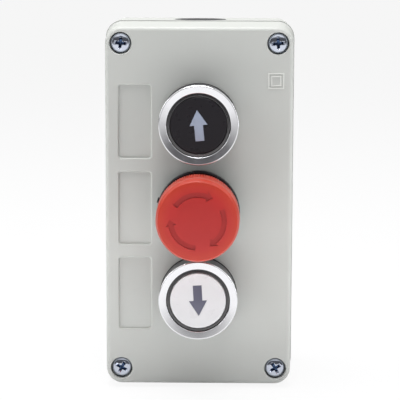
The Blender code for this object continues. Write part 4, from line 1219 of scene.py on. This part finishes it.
class STATION_OT_stage(bpy.types.Operator):
    """Sets the floor, the lights, the world and the camera at the photograph's angle"""

    bl_idname = "station.stage"
    bl_label = "Stage"

    def execute(self, context):
        self.floor()
        self.lamps()
        self.world()
        self.camera()
        context.scene.view_settings.view_transform = "Standard"
        return {"FINISHED"}

    def floor(self):
        # The paper ends a little in front of the object, as in a small light tent
        width, depth, front = 30.0, 15.0, -0.25
        start_clean()
        bpy.ops.mesh.primitive_plane_add(size=1.0, location=(0.0, 0.0, HOUSING_LOW.z - 0.05 * MM))
        floor = name_active("studio_floor")
        bpy.ops.object.mode_set(mode="EDIT")
        bpy.ops.transform.resize(value=(width, depth, 1.0))
        bpy.ops.transform.translate(value=(0.0, depth / 2 + front, 0.0))
        leave()
        bpy.ops.object.transform_apply(location=True, rotation=True, scale=True)
        floor.data.materials.append(self.paper())

    def paper(self):
        # Matt white paper, which to the camera is near white except where the object shades it
        paper = surface("Paper_white_matt", finishes().floor, 0.8)
        shader, place = parts_of(paper)
        path = add_node(paper, "ShaderNodeLightPath")
        # In metal it is white too, but for a painted shade close before the object, which stands in for the
        # object's shadow there
        reach = add_node(paper, "ShaderNodeSeparateXYZ", Vector=place).outputs["Y"]
        painted_shade = add_node(
            paper, "ShaderNodeMapRange", Value=reach, From_Min=-0.16, From_Max=-0.115, To_Min=1.0, To_Max=0.8
        )
        level = add_node(
            paper, "ShaderNodeMix", {"data_type": "FLOAT"},
            {0: path.outputs["Is Glossy Ray"], 2: 1.0, 3: painted_shade.outputs["Result"]},
        )
        glow = add_node(paper, "ShaderNodeEmission", Color=WHITE, Strength=level.outputs[0])
        # A tenth of what is seen is lit paper, which carries the object's shadow
        share = add_node(
            paper, "ShaderNodeMath", {"operation": "MULTIPLY"}, {0: background_rays(paper, path), 1: 0.9}
        )
        mix = add_node(
            paper, "ShaderNodeMixShader",
            slots={0: share.outputs["Value"], 1: shader.outputs["BSDF"], 2: glow.outputs["Emission"]},
        )
        output = paper.node_tree.nodes["Material Output"]
        paper.node_tree.links.new(mix.outputs["Shader"], output.inputs["Surface"])
        return paper

    def lamps(self):
        # A broad soft box overhead, and a weak one on each side
        self.soft_box("top_light", (-0.05, -0.08, 0.85), (0.8, 0.5), 9.8)
        self.soft_box("left_light", (-0.8, -0.2, 0.35), (0.5, 0.5), 2.5)
        self.soft_box("right_light", (0.8, -0.2, 0.2), (0.5, 0.5), 2.3)
        # A reflector lying on the paper before the object throws the light up, so that the buttons
        # shade the cover above them; metal mirrors the paper in its place
        low = self.soft_box("low_reflector", (0.0, -0.2425, HOUSING_LOW.z + 0.002), (0.6, 0.315), 0.66)
        low.rotation_euler = (math.radians(180), 0.0, 0.0)
        low.visible_camera = False
        low.visible_glossy = False

    def soft_box(self, name, place, spread, power):
        data = bpy.data.lights.new(name, "AREA")
        data.shape = "RECTANGLE"
        data.size, data.size_y = spread
        data.energy = power
        lamp = bpy.data.objects.new(name, data)
        bpy.context.collection.objects.link(lamp)
        lamp.location = place
        aim = Vector((0.0, -0.04, 0.0)) - Vector(place)
        lamp.rotation_euler = aim.to_track_quat("-Z", "Y").to_euler()
        return lamp

    def world(self):
        # A light tent that is plain white to the camera and to glass, and throws a soft light on the
        # rest. Metal mirrors a white table and a white roof, and between them the dim room
        world = bpy.data.worlds.new("Studio_white")
        bpy.context.scene.world = world
        world.use_nodes = True
        path = add_node(world, "ShaderNodeLightPath")
        direction = add_node(world, "ShaderNodeTexCoord").outputs["Generated"]
        height = add_node(world, "ShaderNodeSeparateXYZ", Vector=direction).outputs["Z"]
        tent_tones = ((0.0, (0.3, 0.3, 0.31, 1.0)), (0.22, (0.16, 0.16, 0.16, 1.0)))
        tent = add_node(world, "ShaderNodeValToRGB", stops=tent_tones, Fac=height)
        span = add_node(world, "ShaderNodeMapRange", Value=height, From_Min=-0.25, From_Max=0.45)
        dim = (0.1, 0.1, 0.105, 1.0)
        room_tones = ((0.0857, WHITE), (0.357, dim), (0.8, dim), (1.0, WHITE))
        mirrored = add_node(world, "ShaderNodeValToRGB", stops=room_tones, Fac=span.outputs["Result"])
        room = add_node(
            world, "ShaderNodeMix", {"data_type": "RGBA"},
            {0: path.outputs["Is Glossy Ray"], 6: WHITE, 7: mirrored.outputs["Color"]},
        )
        shown = add_node(
            world, "ShaderNodeMix", {"data_type": "RGBA"},
            {0: background_rays(world, path), 6: tent.outputs["Color"], 7: room.outputs[2]},
        )
        background = world.node_tree.nodes["Background"]
        background.inputs["Strength"].default_value = 1.0
        world.node_tree.links.new(shown.outputs[2], background.inputs["Color"])

    def camera(self):
        data = bpy.data.cameras.new("product_camera")
        data.lens = 144.0
        data.sensor_width = 36.0
        camera = bpy.data.objects.new("product_camera", data)
        bpy.context.collection.objects.link(camera)
        pitch, yaw, roll = 0.1513, -0.014, 0.003
        ahead = Vector((math.sin(yaw) * math.cos(pitch), math.cos(yaw) * math.cos(pitch), -math.sin(pitch)))
        right = Vector((math.cos(yaw), -math.sin(yaw), 0.0))
        up = right.cross(ahead)
        rolled_right = math.cos(roll) * right + math.sin(roll) * up
        rolled_up = -math.sin(roll) * right + math.cos(roll) * up
        stand = Matrix((rolled_right, rolled_up, -ahead)).transposed().to_4x4()
        place = Vector((8.66, -636.1, 92.5))
        stand.translation = place * MM
        camera.matrix_world = stand
        bpy.context.scene.camera = camera


STEPS = (
    STATION_OT_rear_housing, STATION_OT_front_cover, STATION_OT_insulation_mark, STATION_OT_grommet,
    STATION_OT_cover_screws, STATION_OT_panel_gaskets, STATION_OT_bezels, STATION_OT_guide_sleeves,
    STATION_OT_caps, STATION_OT_stop_ring, STATION_OT_stop_stem, STATION_OT_mushroom, STATION_OT_springs,
    STATION_OT_inner_finishes, STATION_OT_stage,
)


class STATION_PT_pieces(bpy.types.Panel):
    """Lists the steps in the order in which they are run"""

    bl_idname = "STATION_PT_pieces"
    bl_label = "Control station"
    bl_space_type = "VIEW_3D"
    bl_region_type = "UI"
    bl_category = "Station"

    def draw(self, context):
        for step in STEPS:
            self.layout.operator(step.bl_idname)
        for group in (sizes(), operators(), finishes()):
            box = self.layout.box()
            for key in group.__annotations__:
                box.prop(group, key)


CLASSES = (EnclosureSizes, OperatorSizes, Finishes) + STEPS + (STATION_PT_pieces,)


def register():
    for entry in CLASSES:
        bpy.utils.register_class(entry)
    bpy.types.Scene.station_enclosure = PointerProperty(type=EnclosureSizes)
    bpy.types.Scene.station_operators = PointerProperty(type=OperatorSizes)
    bpy.types.Scene.station_finishes = PointerProperty(type=Finishes)


def unregister():
    del bpy.types.Scene.station_finishes
    del bpy.types.Scene.station_operators
    del bpy.types.Scene.station_enclosure
    for entry in reversed(CLASSES):
        bpy.utils.unregister_class(entry)


def main():
    register()
    for step in STEPS:
        group, name = step.bl_idname.split(".")
        getattr(getattr(bpy.ops, group), name)()


if __name__ == "__main__":
    main()
